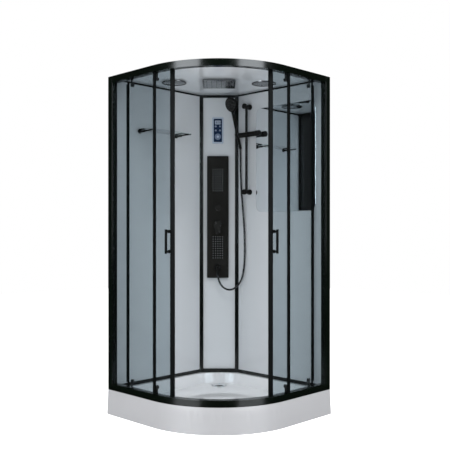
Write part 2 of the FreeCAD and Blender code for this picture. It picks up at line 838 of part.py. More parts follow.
def make_shower_panel():
    """Black cover on the column's panel with windows for the jets and a slot for the steam."""
    v0, v1 = shower_face, panel_face
    shell = rounded_plate(fitting_u, shower_width, shower_bottom, shower_top, v0, v1, 6)
    sheet = shower_sheet
    hollow = rounded_plate(fitting_u, shower_width - 2 * sheet, shower_bottom + sheet,
                           shower_top - sheet, v0 + sheet, v1 + 1, 4)
    shell = shell.cut(hollow)
    holes = [jet_window(z, jet_plate_margin, v0 - 1, v0 + sheet + 1) for z in jet_heights]
    for z in (diverter_height, lever_height):
        collar = rod(V(fitting_u, v0 - escutcheon_height, z), V(fitting_u, v0 + 1, z),
                     escutcheon_radius)
        rim = [e for e in collar.Edges if e.BoundBox.YMax < v0 - escutcheon_height + 0.1]
        shell = shell.fuse(collar.makeChamfer(1.5, rim))
        holes.append(rod(V(fitting_u, v0 - 10, z), V(fitting_u, v1, z),
                         spindle_radius + spindle_gap))
    holes.append(rod(V(fitting_u, v0 - 1, outlet_height), V(fitting_u, v1, outlet_height),
                     outlet_pipe_radius + spindle_gap))
    half = steam_slot_width / 2
    holes.append(box(fitting_u - half, fitting_u + half, v0 + 7, v1 - 5,
                     shower_bottom - 1, shower_bottom + sheet + 1))
    return diagonal(shell.cut(holes))


def make_jets():
    """Two jet plates set in the windows, each with rows of soft hexagonal tips."""
    plates = []
    face = shower_face + 0.5
    behind = shower_face + shower_sheet
    for height in jet_heights:
        plate = jet_window(height, jet_plate_margin - part_gap, face, behind + 2)
        plate = plate.fuse(jet_window(height, jet_plate_margin + 3, behind, behind + 2))
        tips = []
        for column in range(jet_columns):
            for row in range(jet_rows):
                u = fitting_u + jet_pitch * (column - (jet_columns - 1) / 2)
                z = height + jet_pitch * (row - (jet_rows - 1) / 2)
                hexagon = [(u + jet_radius * math.cos(math.radians(60 * i)),
                            -z + jet_radius * math.sin(math.radians(60 * i)), 0) for i in range(6)]
                tips.append(slab(rounded_wire(hexagon, face - jet_length), jet_length + 1))
        tips = Part.makeCompound(tips)
        tips.rotate(ORIGIN, V(1, 0, 0), -90)
        plates.append(diagonal(plate.fuse(tips.Solids).removeSplitter()))
    return plates


def make_mixer_valve():
    """Valve body behind the column: manifold, two inlets, two spindles and the hose outlet."""
    v = panel_face + panel_thickness + manifold_setback
    u = fitting_u
    front = shower_face - spindle_end
    upright = rod(V(u, v, outlet_height - 27), V(u, v, diverter_height + 66), manifold_radius)
    parts = [rod(V(u - inlet_spread, v, lever_height), V(u + inlet_spread, v, lever_height),
                 manifold_radius),
             rod(V(u, v, lever_height), V(u, front, lever_height), spindle_radius),
             rod(V(u, v, diverter_height), V(u, front, diverter_height), spindle_radius),
             rod(V(u, v, outlet_height), V(u, shower_face, outlet_height), outlet_pipe_radius)]
    for side in (-1, 1):
        end = V(u + side * inlet_spread, v, lever_height)
        thread = end + V(0, inlet_collar, 0)
        parts.append(Part.makeSphere(manifold_radius, end))
        parts.append(rod(end, thread, manifold_radius - 1))
        parts.append(rod(thread, thread + V(0, inlet_length, 0), inlet_radius))
    return diagonal(upright.fuse(parts).removeSplitter())


def spindle_bore(height, depth):
    """Blind bore of a control that turns on its spindle."""
    start = shower_face - escutcheon_height
    return rod(V(fitting_u, start + 1, height), V(fitting_u, start - depth, height),
               spindle_radius + running_fit)


def make_mixer_lever():
    """Lever: hub on the spindle and a flat paddle that narrows towards its end."""
    back = shower_face - escutcheon_height - part_gap
    front = shower_face - lever_standoff - lever_thickness + 2
    hub = rod(V(fitting_u, back, lever_height), V(fitting_u, front + 2, lever_height),
              lever_radius - 3)
    half = lever_end_width / 2
    low = lever_height - lever_reach
    corners = [(fitting_u - lever_radius, -lever_height - lever_radius, 20),
               (fitting_u + lever_radius, -lever_height - lever_radius, 20),
               (fitting_u + lever_radius, -lever_height + 4, 40),
               (fitting_u + half, -low, 8), (fitting_u - half, -low, 8),
               (fitting_u - lever_radius, -lever_height + 4, 40)]
    paddle = slab(rounded_wire(corners, front), lever_thickness)
    paddle.rotate(ORIGIN, V(1, 0, 0), -90)
    face = [e for e in paddle.Edges if e.BoundBox.YMax < front + 0.1]
    paddle = paddle.makeFillet(2, face)
    bore = spindle_bore(lever_height, spindle_end - escutcheon_height + 0.5)
    return diagonal(hub.fuse(paddle).cut(bore).removeSplitter())


def make_diverter_knob():
    """Round knob with a pointer ridge and finger flutes."""
    back = shower_face - escutcheon_height - part_gap
    front = back - diverter_depth
    knob = rod(V(fitting_u, back, diverter_height), V(fitting_u, front, diverter_height),
               diverter_radius)
    rim = [e for e in knob.Edges if e.BoundBox.YMax < front + 0.1]
    knob = knob.makeFillet(2.5, rim)
    flutes = []
    for i in range(12):
        angle = math.radians(15 + 30 * i)
        u = fitting_u + (diverter_radius + 2) * math.sin(angle)
        z = diverter_height + (diverter_radius + 2) * math.cos(angle)
        flutes.append(rod(V(u, back - 6, z), V(u, front - 1, z), 3.5))
    ridge = box(fitting_u - 2, fitting_u + 2, front - 2, front + 2,
                diverter_height + 2, diverter_height + diverter_radius - 3)
    bore = spindle_bore(diverter_height, spindle_end - escutcheon_height + 0.5)
    return diagonal(knob.cut(flutes).fuse(ridge).cut(bore).removeSplitter())


def make_hose_elbow():
    """Outlet for the hose: rose on the shower panel, neck and a spout that points down."""
    reach = shower_face - outlet_reach + 1
    u, z = fitting_u, outlet_height
    rose = Part.makeCone(outlet_base_radius, outlet_base_radius - 8, 12, V(u, shower_face, z),
                         V(0, -1, 0))
    parts = [rod(V(u, shower_face, z), V(u, reach, z), outlet_pipe_radius),
             Part.makeSphere(outlet_pipe_radius, V(u, reach, z)),
             rod(V(u, reach, z), V(u, reach, z - outlet_drop), outlet_pipe_radius)]
    bore = rod(V(u, reach, z - outlet_drop - 1), V(u, reach, z - 8), hose_radius - 2)
    return diagonal(rose.fuse(parts).cut(bore).removeSplitter())


def key_spots():
    """Places of the four keys on the control unit: (u, z)."""
    return [(fitting_u + side * key_offset, z) for z in key_heights for side in (-1, 1)]


def make_control_housing():
    """Housing of the control unit with a pocket behind every key."""
    front = panel_face - control_depth
    low = control_centre - control_height / 2
    body = rounded_plate(fitting_u, control_width, low, low + control_height, front, panel_face, 7)
    rim = [e for e in body.Edges if e.BoundBox.YMax < front + 0.1]
    body = body.makeFillet(2, rim)
    pockets = []
    depth = key_flange + key_travel + 0.6
    for u, z in key_spots():
        pockets.append(rod(V(u, front - 1, z), V(u, front + depth, z), key_radius + key_lip + 0.4))
    ring = rod(V(fitting_u, front - 1, ring_height), V(fitting_u, front + depth, ring_height),
               ring_outer + key_lip + 0.4)
    island = rod(V(fitting_u, front - display_thickness, ring_height),
                 V(fitting_u, front + depth + 1, ring_height), ring_inner - key_gap)
    return diagonal(body.cut(pockets + [ring]).fuse(island).removeSplitter())


def make_control_display():
    """Dark display plate with openings for the keys and the ring key."""
    front = panel_face - control_depth
    low = control_centre - display_height / 2
    plate = rounded_plate(fitting_u, display_width, low, low + display_height,
                          front - display_thickness, front, 4)
    holes = [rod(V(u, front - 5, z), V(u, front + 1, z), key_radius + key_gap)
             for u, z in key_spots()]
    holes.append(rod(V(fitting_u, front - 5, ring_height), V(fitting_u, front + 1, ring_height),
                     ring_outer + key_gap))
    return diagonal(plate.cut(holes))


def make_key(u, z, radius):
    """Round push key with a lip that stays behind the display plate."""
    back = panel_face - control_depth
    cap_front = back - display_thickness - key_proud
    cap = rod(V(u, back + key_flange, z), V(u, cap_front, z), radius)
    rim = [e for e in cap.Edges if e.BoundBox.YMax < cap_front + 0.1]
    cap = cap.makeFillet(0.5, rim)
    lip = rod(V(u, back + 0.1, z), V(u, back + key_flange, z), radius + key_lip)
    return cap.fuse(lip).removeSplitter()


def make_ring_key():
    """Ring-shaped push key around a fixed middle."""
    ring = make_key(fitting_u, ring_height, ring_outer)
    return diagonal(ring.cut(rod(V(fitting_u, shower_face, ring_height),
                                 V(fitting_u, panel_face, ring_height), ring_inner)))


def make_steam_generator():
    """Steam generator at the foot of the column, with its pipe up to the shower panel."""
    v0 = panel_face + panel_thickness + 19
    v1 = v0 + steam_depth
    middle = (v0 + v1) / 2
    half = steam_width / 2
    top = steam_bottom + steam_height
    body = box(-half, half, v0, v1, steam_bottom, top)
    upright = [e for e in body.Edges if e.BoundBox.ZLength > steam_height - 1]
    body = body.makeFillet(6, upright)
    end = panel_face - shower_depth / 2
    parts = [rod(V(steam_u, middle, top - 1), V(steam_u, middle, steam_out_height),
                 steam_pipe_radius),
             Part.makeSphere(steam_pipe_radius, V(steam_u, middle, steam_out_height)),
             rod(V(steam_u, middle, steam_out_height), V(steam_u, end, steam_out_height),
                 steam_pipe_radius),
             rod(V(steam_u, middle, top - 1), V(steam_u, middle, top + 14), steam_pipe_radius + 6),
             rod(V(-30, middle, top - 1), V(-30, middle, top + 30), steam_inlet_radius)]
    for u in (-half + 15, half - 15):
        parts.append(box(u - 10, u + 10, panel_face + panel_thickness, v0 + 1,
                         top - 60, top - 40))
    return diagonal(body.fuse(parts).removeSplitter())


# ---- riser rail, slider, handset and hose, on the right wall

def make_riser_rail():
    """Round rail between two wall brackets."""
    y = wall_in_y - riser_off_wall
    tube = rod(V(riser_x, y, riser_bottom), V(riser_x, y, riser_top), riser_radius)
    for z in (riser_bottom, riser_top):
        front = wall_in_y - bracket_length
        neck = rod(V(riser_x, wall_in_y, z), V(riser_x, front, z), bracket_neck_radius)
        ends = []
        for start in (wall_in_y, front + bracket_end):
            disc = rod(V(riser_x, start, z), V(riser_x, start - bracket_end, z),
                       bracket_end_radius)
            face = [e for e in disc.Edges if e.BoundBox.YMax < start - bracket_end + 0.1]
            ends.append(disc.makeFillet(2, face))
        tube = tube.fuse([neck] + ends)
    return tube.removeSplitter()


def handset_axis():
    """Holder's centre and the direction of the handle, pointing up to the head."""
    lean = math.radians(handset_lean)
    centre = V(riser_x - holder_offset, wall_in_y - riser_off_wall, slider_height)
    return centre, V(0, -math.sin(lean), math.cos(lean))


def handle_cone(grow):
    """Tapered handle of the handset, grown all round."""
    centre, along = handset_axis()
    length = handset_tail + handset_reach
    return Part.makeCone(handle_tail_radius + grow, handle_top_radius + grow, length,
                         centre - along * handset_tail, along)


def make_slider():
    """Slider: round arm across the rail with a tapered holder at its end."""
    centre, along = handset_axis()
    y = centre.y
    arm = rod(V(riser_x - slider_left, y, slider_height), V(riser_x + slider_right, y,
                                                            slider_height), slider_radius)
    ends = [e for e in arm.Edges if e.BoundBox.XLength < 0.1]
    arm = arm.makeFillet(2, ends)
    half = along * (holder_height / 2)
    cup = rod(centre - half, centre + half, holder_radius)
    slot = box(centre.x - hose_radius - 1, centre.x + hose_radius + 1, y - 60, y,
               slider_height - 60, slider_height + 60)
    bore = rod(V(riser_x, y, slider_height - 60), V(riser_x, y, slider_height + 60),
               riser_radius + slider_fit)
    stem = rod(V(riser_x + slider_right + 1, y, slider_height),
               V(riser_x + slider_right - knob_depth, y, slider_height),
               knob_stem_radius + running_fit)
    return arm.fuse(cup).cut([handle_cone(slider_fit), slot, bore, stem]).removeSplitter()


def make_slider_knob():
    """Clamping knob at the arm's other end, with shallow flutes."""
    y = wall_in_y - riser_off_wall
    start = riser_x + slider_right + knob_gap
    knob = rod(V(start, y, slider_height), V(start + knob_length, y, slider_height), knob_radius)
    ends = [e for e in knob.Edges if e.BoundBox.XLength < 0.1]
    knob = knob.makeFillet(3, ends)
    flutes = []
    for i in range(8):
        angle = math.radians(45 * i)
        fy = y + (knob_radius + 3) * math.cos(angle)
        fz = slider_height + (knob_radius + 3) * math.sin(angle)
        flutes.append(rod(V(start + 8, fy, fz), V(start + knob_length + 1, fy, fz), 4.5))
    stem = rod(V(start - knob_gap - knob_depth + 1, y, slider_height), V(start, y, slider_height),
               knob_stem_radius)
    return knob.cut(flutes).fuse(stem).removeSplitter()


def make_handset():
    """Hand shower: tapered handle and a round head that looks down into the cabin."""
    centre, along = handset_axis()
    tilt = math.radians(head_tilt)
    spray = V(0, -math.sin(tilt), -math.cos(tilt))
    middle = centre + along * handset_reach
    back = middle - spray * head_set
    head = Part.makeCylinder(head_radius, head_thickness * 0.55, back, spray)
    rear = Part.makeCone(head_radius * 0.55, head_radius, 9, back - spray * 9, spray)
    plate_at = back + spray * (head_thickness * 0.55)
    face = Part.makeCone(head_radius, head_radius - 6, 3, plate_at, spray)
    handle = handle_cone(0)
    ball = Part.makeSphere(handle_top_radius, middle)
    beyond = Part.makeCylinder(head_radius, 80, plate_at, spray)
    handle = handle.fuse(ball).cut(beyond)
    tail = centre - along * handset_tail
    collar = Part.makeCone(handle_tail_radius - 1, handle_tail_radius, 14, tail, along)
    return handle.fuse([head, rear, face, collar]).removeSplitter()


def hose_points():
    """Control points of the hose, from the handset's tail round and up into the elbow."""
    centre, along = handset_axis()
    tail = centre - along * handset_tail
    spout = uv(fitting_u, shower_face - outlet_reach + 1, outlet_height - outlet_drop)
    return [tail, tail - along * 23] + [V(*p) for p in hose_route] + [spout - UP * 26, spout]


def make_hose():
    """Hose: straight runs joined by arcs, swept with a round section."""
    points = hose_points()
    edges = []
    last = points[0]
    tightest = 1e9
    for i in range(1, len(points) - 1):
        here = points[i]
        before = points[i - 1] - here
        after = points[i + 1] - here
        half = before.getAngle(after) / 2
        reach = 0.45 * min(before.Length, after.Length)
        radius = reach * math.tan(half)
        tightest = min(tightest, radius)
        start = here + before.normalize() * reach
        end = here + after.normalize() * reach
        inward = (before + after).normalize()
        top = here + inward * (radius / math.sin(half) - radius)
        edges.append(Part.LineSegment(last, start).toShape())
        edges.append(Part.Arc(start, top, end).toShape())
        last = end
    edges.append(Part.LineSegment(last, points[-1]).toShape())
    path = Part.Wire(edges)
    section = Part.Wire(Part.Circle(points[0], points[1] - points[0], hose_radius).toShape())
    hose = path.makePipeShell([section], True, False)
    print(f"hose length {path.Length:.1f}, smallest bend radius {tightest:.1f}, volume ratio "
          f"{hose.Volume / (math.pi * hose_radius ** 2 * path.Length):.3f}")
    return hose


# ---- mirror and shelf

def make_mirror():
    """Mirror with round corners on the right wall."""
    right = mirror_left + mirror_width
    top = mirror_bottom + mirror_height
    corners = [(mirror_left, -top, mirror_corner), (right, -top, mirror_corner),
               (right, -mirror_bottom, mirror_corner), (mirror_left, -mirror_bottom,
                                                        mirror_corner)]
    plate = slab(rounded_wire(corners, wall_in_y - mirror_thickness), mirror_thickness)
    plate.rotate(ORIGIN, V(1, 0, 0), -90)
    return plate


def make_shelf_glass():
    """Glass shelf with two round front corners."""
    x0 = wall_in_x + 6
    y0 = shelf_arm_y[0] - shelf_overhang
    y1 = shelf_arm_y[1] + shelf_overhang
    x1 = x0 + shelf_depth
    corners = [(x0, y0, 0), (x1, y0, shelf_corner), (x1, y1, shelf_corner), (x0, y1, 0)]
    return slab(rounded_wire(corners, shelf_under), shelf_thickness)


def make_shelf_bracket(y, guard):
    """Wall rose, clamp over the glass and a thin arm below it; one has a short side rail."""
    x = wall_in_x
    z = shelf_under - shelf_arm_radius
    rose = rod(V(x, y, z), V(x + shelf_rose_length, y, z), shelf_rose_radius)
    arm = rod(V(x, y, z), V(x + shelf_arm_length, y, z), shelf_arm_radius)
    clamp = box(x, x + shelf_guard_reach, y - 7, y + 7, z - 7, z + shelf_guard_rise)
    end = [e for e in clamp.Edges if e.BoundBox.XMin > x + shelf_guard_reach - 0.1
           and e.BoundBox.ZLength < 0.1]
    clamp = clamp.makeFillet(5, end)
    bracket = rose.fuse([arm, clamp])
    if guard:
        rail_z = shelf_under + shelf_thickness + 7
        start = x + shelf_guard_reach - 5
        bracket = bracket.fuse(rod(V(start, y, rail_z), V(start, y + shelf_guard_length, rail_z),
                                   shelf_arm_radius - 0.5))
    slot = box(x + 6 - slot_gap, x + 200, y - 20, y + 20, shelf_under,
               shelf_under + shelf_thickness + slot_gap)
    return bracket.cut(slot).removeSplitter()


# ---- roof and what hangs from it

def make_roof():
    """Roof panel with ribs on top and holes for the fan, the speaker and the rain pipe."""
    roof = slab(plan(rail_depth - roof_lap, 0, roof_under), roof_thickness)
    top = roof_under + roof_thickness
    ribs = []
    for v in rib_places:
        ribs.append(diagonal(box(-rib_half, rib_half, v - 6, v + 6, top - 1, top + rib_height)))
    post = box(back_x - 1, back_x + post_width, front_y - 1, front_y + post_depth,
               roof_under - 1, top + 20)
    holes = [post, mirrored(post)]
    for x, y, radius in ((fan_x, fan_y, fan_hole_radius), (speaker_x, speaker_y,
                                                          speaker_hole_radius)):
        holes.append(rod(V(x, y, roof_under - 1), V(x, y, top + 40), radius))
    at = uv(0, rain_centre, roof_under - 1)
    holes.append(rod(at, at + UP * 40, rain_pipe_radius + 2))
    for x, y in screw_spots():
        holes.append(rod(V(x, y, roof_under - 1), V(x, y, top + 1), screw_radius + running_fit))
    return roof.fuse(ribs).cut(holes).removeSplitter()


def make_fan_housing():
    """Drum over the roof's hole with a spigot for the duct and the motor hung in the middle."""
    low = roof_under + roof_thickness
    top = low + fan_height
    here = V(fan_x, fan_y, 0)
    outer = fan_hole_radius + 2 * fan_wall
    drum = rod(here + UP * low, here + UP * top, outer)
    drum = drum.fuse([rod(here + UP * low, here + UP * (low + 3), outer + 12),
                      rod(here + UP * top, here + UP * (top + fan_spigot_length),
                          fan_spigot_radius)])
    drum = drum.cut([rod(here + UP * (low - 1), here + UP * (top - fan_wall),
                         fan_hole_radius + fan_wall),
                     rod(here + UP * low, here + UP * (top + fan_spigot_length + 1),
                         fan_spigot_radius - fan_wall)])
    motor_low = low + rotor_height + 8
    parts = [rod(here + UP * motor_low, here + UP * (top + 4), rotor_hub_radius - 3),
             rod(here + UP * (low + 3), here + UP * (motor_low + 1), axle_radius)]
    for i in range(3):
        arm = box(0, fan_spigot_radius - 1, -3, 3, top - fan_wall, top + 4)
        arm.rotate(ORIGIN, UP, 30 + 120 * i)
        arm.translate(here)
        parts.append(arm)
    return drum.fuse(parts).removeSplitter()


def make_fan_rotor():
    """Axial rotor: hub and pitched blades."""
    low = roof_under + roof_thickness + 5
    here = V(fan_x, fan_y, low)
    hub = rod(here, here + UP * rotor_height, rotor_hub_radius)
    blades = []
    for i in range(rotor_blades):
        blade = box(rotor_hub_radius - 3, rotor_radius, -blade_thickness / 2,
                    blade_thickness / 2, -13, 13)
        blade.rotate(ORIGIN, V(1, 0, 0), 90 - blade_pitch)
        blade.rotate(ORIGIN, UP, 360 / rotor_blades * i)
        blade.translate(here + UP * (rotor_height / 2))
        blades.append(blade)
    bore = rod(here - UP, here + UP * (rotor_height + 1), axle_radius + running_fit)
    return hub.fuse(blades).cut(bore).removeSplitter()


def make_fan_grille():
    """Round cover held below the fan on four spacers, so that air passes around it."""
    low = roof_under - fan_air_gap - cover_thickness
    here = V(fan_x, fan_y, low)
    disc = rod(here, here + UP * cover_thickness, cover_radius)
    rim = [e for e in disc.Edges if e.BoundBox.ZMax < low + 0.1]
    disc = disc.makeFillet(1.5, rim)
    spacers = []
    for i in range(4):
        angle = math.radians(45 + 90 * i)
        at = here + V(math.cos(angle), math.sin(angle), 0) * (cover_radius - 10)
        spacers.append(rod(at + UP * (cover_thickness - 1), at + UP * (cover_thickness
                                                                      + fan_air_gap), 4))
    return disc.fuse(spacers).removeSplitter()


def make_speaker():
    """Round speaker: cover with ring grooves below the roof and a can above it."""
    low = roof_under - cover_thickness
    here = V(speaker_x, speaker_y, low)
    disc = rod(here, here + UP * cover_thickness, cover_radius)
    rim = [e for e in disc.Edges if e.BoundBox.ZMax < low + 0.1]
    disc = disc.makeFillet(1.5, rim)
    grooves = []
    for radius in (20.0, 32.0, 44.0):
        ring = rod(here - UP, here + UP * 1.2, radius + 2)
        grooves.append(ring.cut(rod(here - UP * 2, here + UP * 2, radius - 2)))
    can = rod(here + UP * (cover_thickness - 1), here + UP * (cover_thickness + speaker_height),
              speaker_hole_radius - 1)
    magnet_at = here + UP * (cover_thickness + speaker_height - 1)
    magnet = rod(magnet_at, magnet_at + UP * 12, 24)
    return disc.cut(grooves).fuse([can, magnet]).removeSplitter()


def make_rain_head():
    """Rectangular rain head under the roof, with soft tips and its pipe through the roof."""
    high = roof_under - rain_drop
    low = high - rain_thickness
    half_u = rain_width / 2
    half_v = rain_length / 2
    corners = [(-half_u, rain_centre - half_v, 8), (half_u, rain_centre - half_v, 8),
               (half_u, rain_centre + half_v, 8), (-half_u, rain_centre + half_v, 8)]
    plate = slab(rounded_wire(corners, low), rain_thickness)
    tips = []
    for column in range(rain_columns):
        for row in range(rain_rows):
            u = rain_pitch * (column - (rain_columns - 1) / 2)
            v = rain_centre + rain_pitch * (row - (rain_rows - 1) / 2)
            hexagon = [(u + 2 * math.cos(math.radians(60 * i)),
                        v + 2 * math.sin(math.radians(60 * i)), 0) for i in range(6)]
            tips.append(slab(rounded_wire(hexagon, low - 1.5), 2))
    top = roof_under + roof_thickness
    middle = V(0, rain_centre, 0)
    pipe = rod(middle + UP * (high - 1), middle + UP * (top + 30), rain_pipe_radius)
    nut = rod(middle + UP * top, middle + UP * (top + 8), rain_pipe_radius + 8)
    collar = rod(middle + UP * (high - 1), middle + UP * roof_under, rain_pipe_radius + 8)
    head = plate.fuse(tips + [pipe, nut, collar]).removeSplitter()
    bore = rod(middle + UP * (low + 4), middle + UP * (top + 31), rain_pipe_radius - 3)
    return diagonal(head.cut(bore))


def screw_spots():
    """Places of the roof's screws along the upper rail's inner edge."""
    inset = rail_depth - roof_lap / 2
    start = back_x + post_width
    spots = []
    for fraction in screw_fractions:
        x = start + fraction * (arc_x - start)
        spots.append((x, front_y + inset))
        spots.append((-front_y - inset, -x))
    reach = corner_radius - inset
    for angle in screw_angles:
        spots.append((arc_x + reach * math.cos(math.radians(angle)),
                      arc_y + reach * math.sin(math.radians(angle))))
    return spots


def make_roof_screws():
    """Pan-head screws through the upper rail's web into the roof panel."""
    screws = []
    for x, y in screw_spots():
        head = Part.makeCone(4.5, 3.5, 2.5, V(x, y, frame_top))
        shank = rod(V(x, y, roof_under - 3), V(x, y, frame_top + 1), screw_radius)
        screws.append(head.fuse(shank).removeSplitter())
    return screws


# ---- all pieces

export("tray", make_tray())
export("apron", make_apron())
export("tray_frame", make_tray_frame())
export("tray_feet", *make_feet())
export("drain_trap", make_drain_trap())
export("drain_cover", make_drain_cover())

wall = make_wall()
trims = make_wall_trims()
post = make_corner_post()
column_post = make_column_post()
export("wall_left", wall)
export("wall_right", mirrored(wall))
export("wall_trims", *trims, *[mirrored(t) for t in trims])
export("corner_posts", post, mirrored(post))
export("column_frame", column_post, mirrored(column_post), *make_column_trims())
export("column_panel", make_column_panel())

export("top_rail", make_rail(rail_high_bottom, False))
export("bottom_rail", make_rail(tray_height, True))
left_end = arc_x + fixed_end_left
right_end = arc_x + fixed_end_right
export("fixed_glass_left", make_fixed_pane(left_end))
export("fixed_glass_right", mirrored(make_fixed_pane(right_end)))
export("fixed_stiles", make_fixed_stile(left_end), mirrored(make_fixed_stile(right_end)))

door = {
    "door_glass": [make_door_glass()],
    "door_stile": [make_door_stile()],
    "door_seal": [make_door_seal()],
    "door_handle": [make_door_handle()],
    "door_hangers": [make_hanger(a, top) for a in hanger_angles for top in (True, False)],
    "wheel_front": [make_wheel(hanger_angles[0])],
    "wheel_rear": [make_wheel(hanger_angles[1])],
}
for name, solids in door.items():
    export(name + "_left", *[opened(s, open_left) for s in solids])
    export(name + "_right", *[mirrored(opened(s, open_right)) for s in solids])

export("shower_panel", make_shower_panel())
export("jet_nozzles", *make_jets())
export("mixer_valve", make_mixer_valve())
export("mixer_lever", make_mixer_lever())
export("diverter_knob", make_diverter_knob())
export("hose_elbow", make_hose_elbow())
export("control_housing", make_control_housing())
export("control_display", make_control_display())
for number, (u, z) in enumerate(key_spots(), 1):
    export(f"key_{number}", diagonal(make_key(u, z, key_radius)))
export("key_ring", make_ring_key())
export("steam_generator", make_steam_generator())

export("riser_rail", make_riser_rail())
export("slider", make_slider())
export("slider_knob", make_slider_knob())
export("handset", make_handset())
export("shower_hose", make_hose())

export("mirror", make_mirror())
export("shelf_glass", make_shelf_glass())
export("shelf_brackets", *[make_shelf_bracket(y, y == shelf_arm_y[1]) for y in shelf_arm_y])

export("roof", make_roof())
export("fan_housing", make_fan_housing())
export("fan_rotor", make_fan_rotor())
export("fan_grille", make_fan_grille())
export("speaker", make_speaker())
export("rain_head", make_rain_head())
export("roof_screws", *make_roof_screws())
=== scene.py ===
# %% [markdown]
# This script dresses a quadrant steam shower cabin: a black frame, white back walls, tinted
# glass, a low tray and the fittings of its corner column. The exact shapes come from a packed
# CAD model, which is loaded as a fixed frame. Everything added here is measured in metres in
# the same frame, with Z up and the floor at zero, so no piece needs fitting by eye.

# %% Tools and frame
import json
import math

import bmesh
import bpy
from mathutils import Matrix, Vector


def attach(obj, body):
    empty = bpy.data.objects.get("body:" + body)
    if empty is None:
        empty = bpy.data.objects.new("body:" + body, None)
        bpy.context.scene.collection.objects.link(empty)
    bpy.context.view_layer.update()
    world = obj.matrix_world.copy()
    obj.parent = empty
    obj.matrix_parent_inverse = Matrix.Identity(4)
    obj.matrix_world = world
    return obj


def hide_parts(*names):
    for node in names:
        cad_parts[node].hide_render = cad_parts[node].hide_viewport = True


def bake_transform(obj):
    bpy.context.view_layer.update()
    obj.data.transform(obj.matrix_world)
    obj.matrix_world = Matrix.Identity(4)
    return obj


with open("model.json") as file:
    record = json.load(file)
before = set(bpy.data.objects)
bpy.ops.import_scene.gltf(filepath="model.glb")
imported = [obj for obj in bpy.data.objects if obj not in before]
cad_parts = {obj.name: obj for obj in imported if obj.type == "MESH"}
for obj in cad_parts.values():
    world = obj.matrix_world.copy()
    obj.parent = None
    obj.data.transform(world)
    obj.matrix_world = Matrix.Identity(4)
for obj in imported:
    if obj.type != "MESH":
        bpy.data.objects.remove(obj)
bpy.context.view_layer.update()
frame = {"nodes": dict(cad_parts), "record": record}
record = frame["record"]
body_of_node = {node: body for body, nodes in record["behaviour"]["bodies"].items()
                for node in nodes}
slot_of_node = {part["node"]: part["material_slot"] for part in record["subparts"]}

# %% [markdown]
# The cabin is symmetrical about the diagonal of its square plan, from the rounded corner to
# the column. A rotated empty could carry pieces that are placed along it, but every piece has
# to stay at the origin. So places are given along the diagonal, and one helper turns them into
# X and Y. Others measure where a CAD piece starts in a direction. They round to a tenth of a
# millimetre, because the facets of a round piece fall slightly short of its true edge.

# %% Directions and measures
HALF_ROOT = math.sqrt(0.5)
DIAGONAL = math.radians(45)
PLACE_DIGITS = 4


def along_diagonal(u, v, z):
    """Point in metres at u across the cabin's diagonal and v along it into the corner."""
    return Vector(((u - v) * HALF_ROOT, (u + v) * HALF_ROOT, z))


def reach(node_name, direction):
    """Lowest and highest reach of a CAD piece along a direction."""
    places = [vertex.co.dot(direction) for vertex in frame["nodes"][node_name].data.vertices]
    return min(places), max(places)


def start_of(node_name, direction):
    """Where a CAD piece starts along a direction, to a tenth of a millimetre."""
    return round(reach(node_name, direction)[0], PLACE_DIGITS)


INTO_CORNER = along_diagonal(0, 1, 0)
print("column face at", start_of("column_panel", INTO_CORNER), "m into the corner")

# %% [markdown]
# A photographer would stand in front of the rounded corner and look along the cabin's
# diagonal, with the camera level so that the posts stay upright. A longer lens from four and
# a half metres keeps the perspective mild. The picture's middle is moved a little with the
# lens shift, which frames the cabin without tilting the camera.

# %% Camera
EYE_DISTANCE = 4.455
EYE_HEIGHT = 1.143
LENS_LENGTH = 56.0
SENSOR_WIDTH = 36.0
LENS_SHIFT = (0.0131, 0.0207)

lens = bpy.data.cameras.new("front_camera")
lens.lens = LENS_LENGTH
lens.sensor_width = SENSOR_WIDTH
lens.shift_x, lens.shift_y = LENS_SHIFT
camera = bpy.data.objects.new("front_camera", lens)
camera.location = along_diagonal(0, -EYE_DISTANCE, EYE_HEIGHT)
camera.rotation_euler = (math.radians(90), 0, DIAGONAL)
bpy.context.scene.collection.objects.link(camera)
bpy.context.scene.camera = camera
bpy.context.scene.view_settings.view_transform = "Standard"
print("camera at", [round(c, 3) for c in camera.location])

# %% [markdown]
# The shower hose is a soft tube of fixed length, about one and a quarter metres. It leaves the
# tail of the hand shower, hangs down beside the column, turns in a low loop and rises into
# the elbow on the shower panel. A cloth or rope simulation could find such a line, but it
# would land somewhere else each time the numbers change. One smooth NURBS spline through a
# few control points bends the way a real hose does and stays where it is put.

# %% Line of the hose
MM = 0.001
HOSE_ROUTE = (
    (-259.0, 464.127, 1780.709), (-259.0, 470.852, 1758.714), (-257.0, 470.5, 1716.0),
    (-253.0, 467.5, 1635.0), (-247.0, 465.0, 1500.0), (-233.0, 467.0, 1350.0),
    (-219.5, 471.0, 1190.0), (-215.0, 472.0, 1040.0), (-219.0, 470.0, 905.0),
    (-237.0, 460.0, 815.0), (-269.0, 435.0, 762.0), (-307.0, 402.0, 746.0),
    (-341.0, 371.0, 770.0), (-360.0, 354.0, 818.0), (-363.453, 350.725, 857.0),
    (-363.453, 350.725, 883.0),
)
LINE_STEPS = 24


def spline_points(name, route):
    """Points along the smooth NURBS line of a route given in millimetres."""
    curve = bpy.data.curves.new(name, "CURVE")
    curve.dimensions = "3D"
    spline = curve.splines.new("NURBS")
    spline.points.add(len(route) - 1)
    for control, place in zip(spline.points, route):
        control.co = (*(MM * c for c in place), 1.0)
    spline.order_u = 3
    spline.use_endpoint_u = True
    spline.resolution_u = LINE_STEPS
    line = bpy.data.objects.new(name, curve)
    bpy.context.scene.collection.objects.link(line)
    bpy.context.view_layer.update()
    mesh = bpy.data.meshes.new_from_object(line)
    points = [vertex.co.copy() for vertex in mesh.vertices]
    bpy.data.objects.remove(line)
    bpy.data.meshes.remove(mesh)
    return points


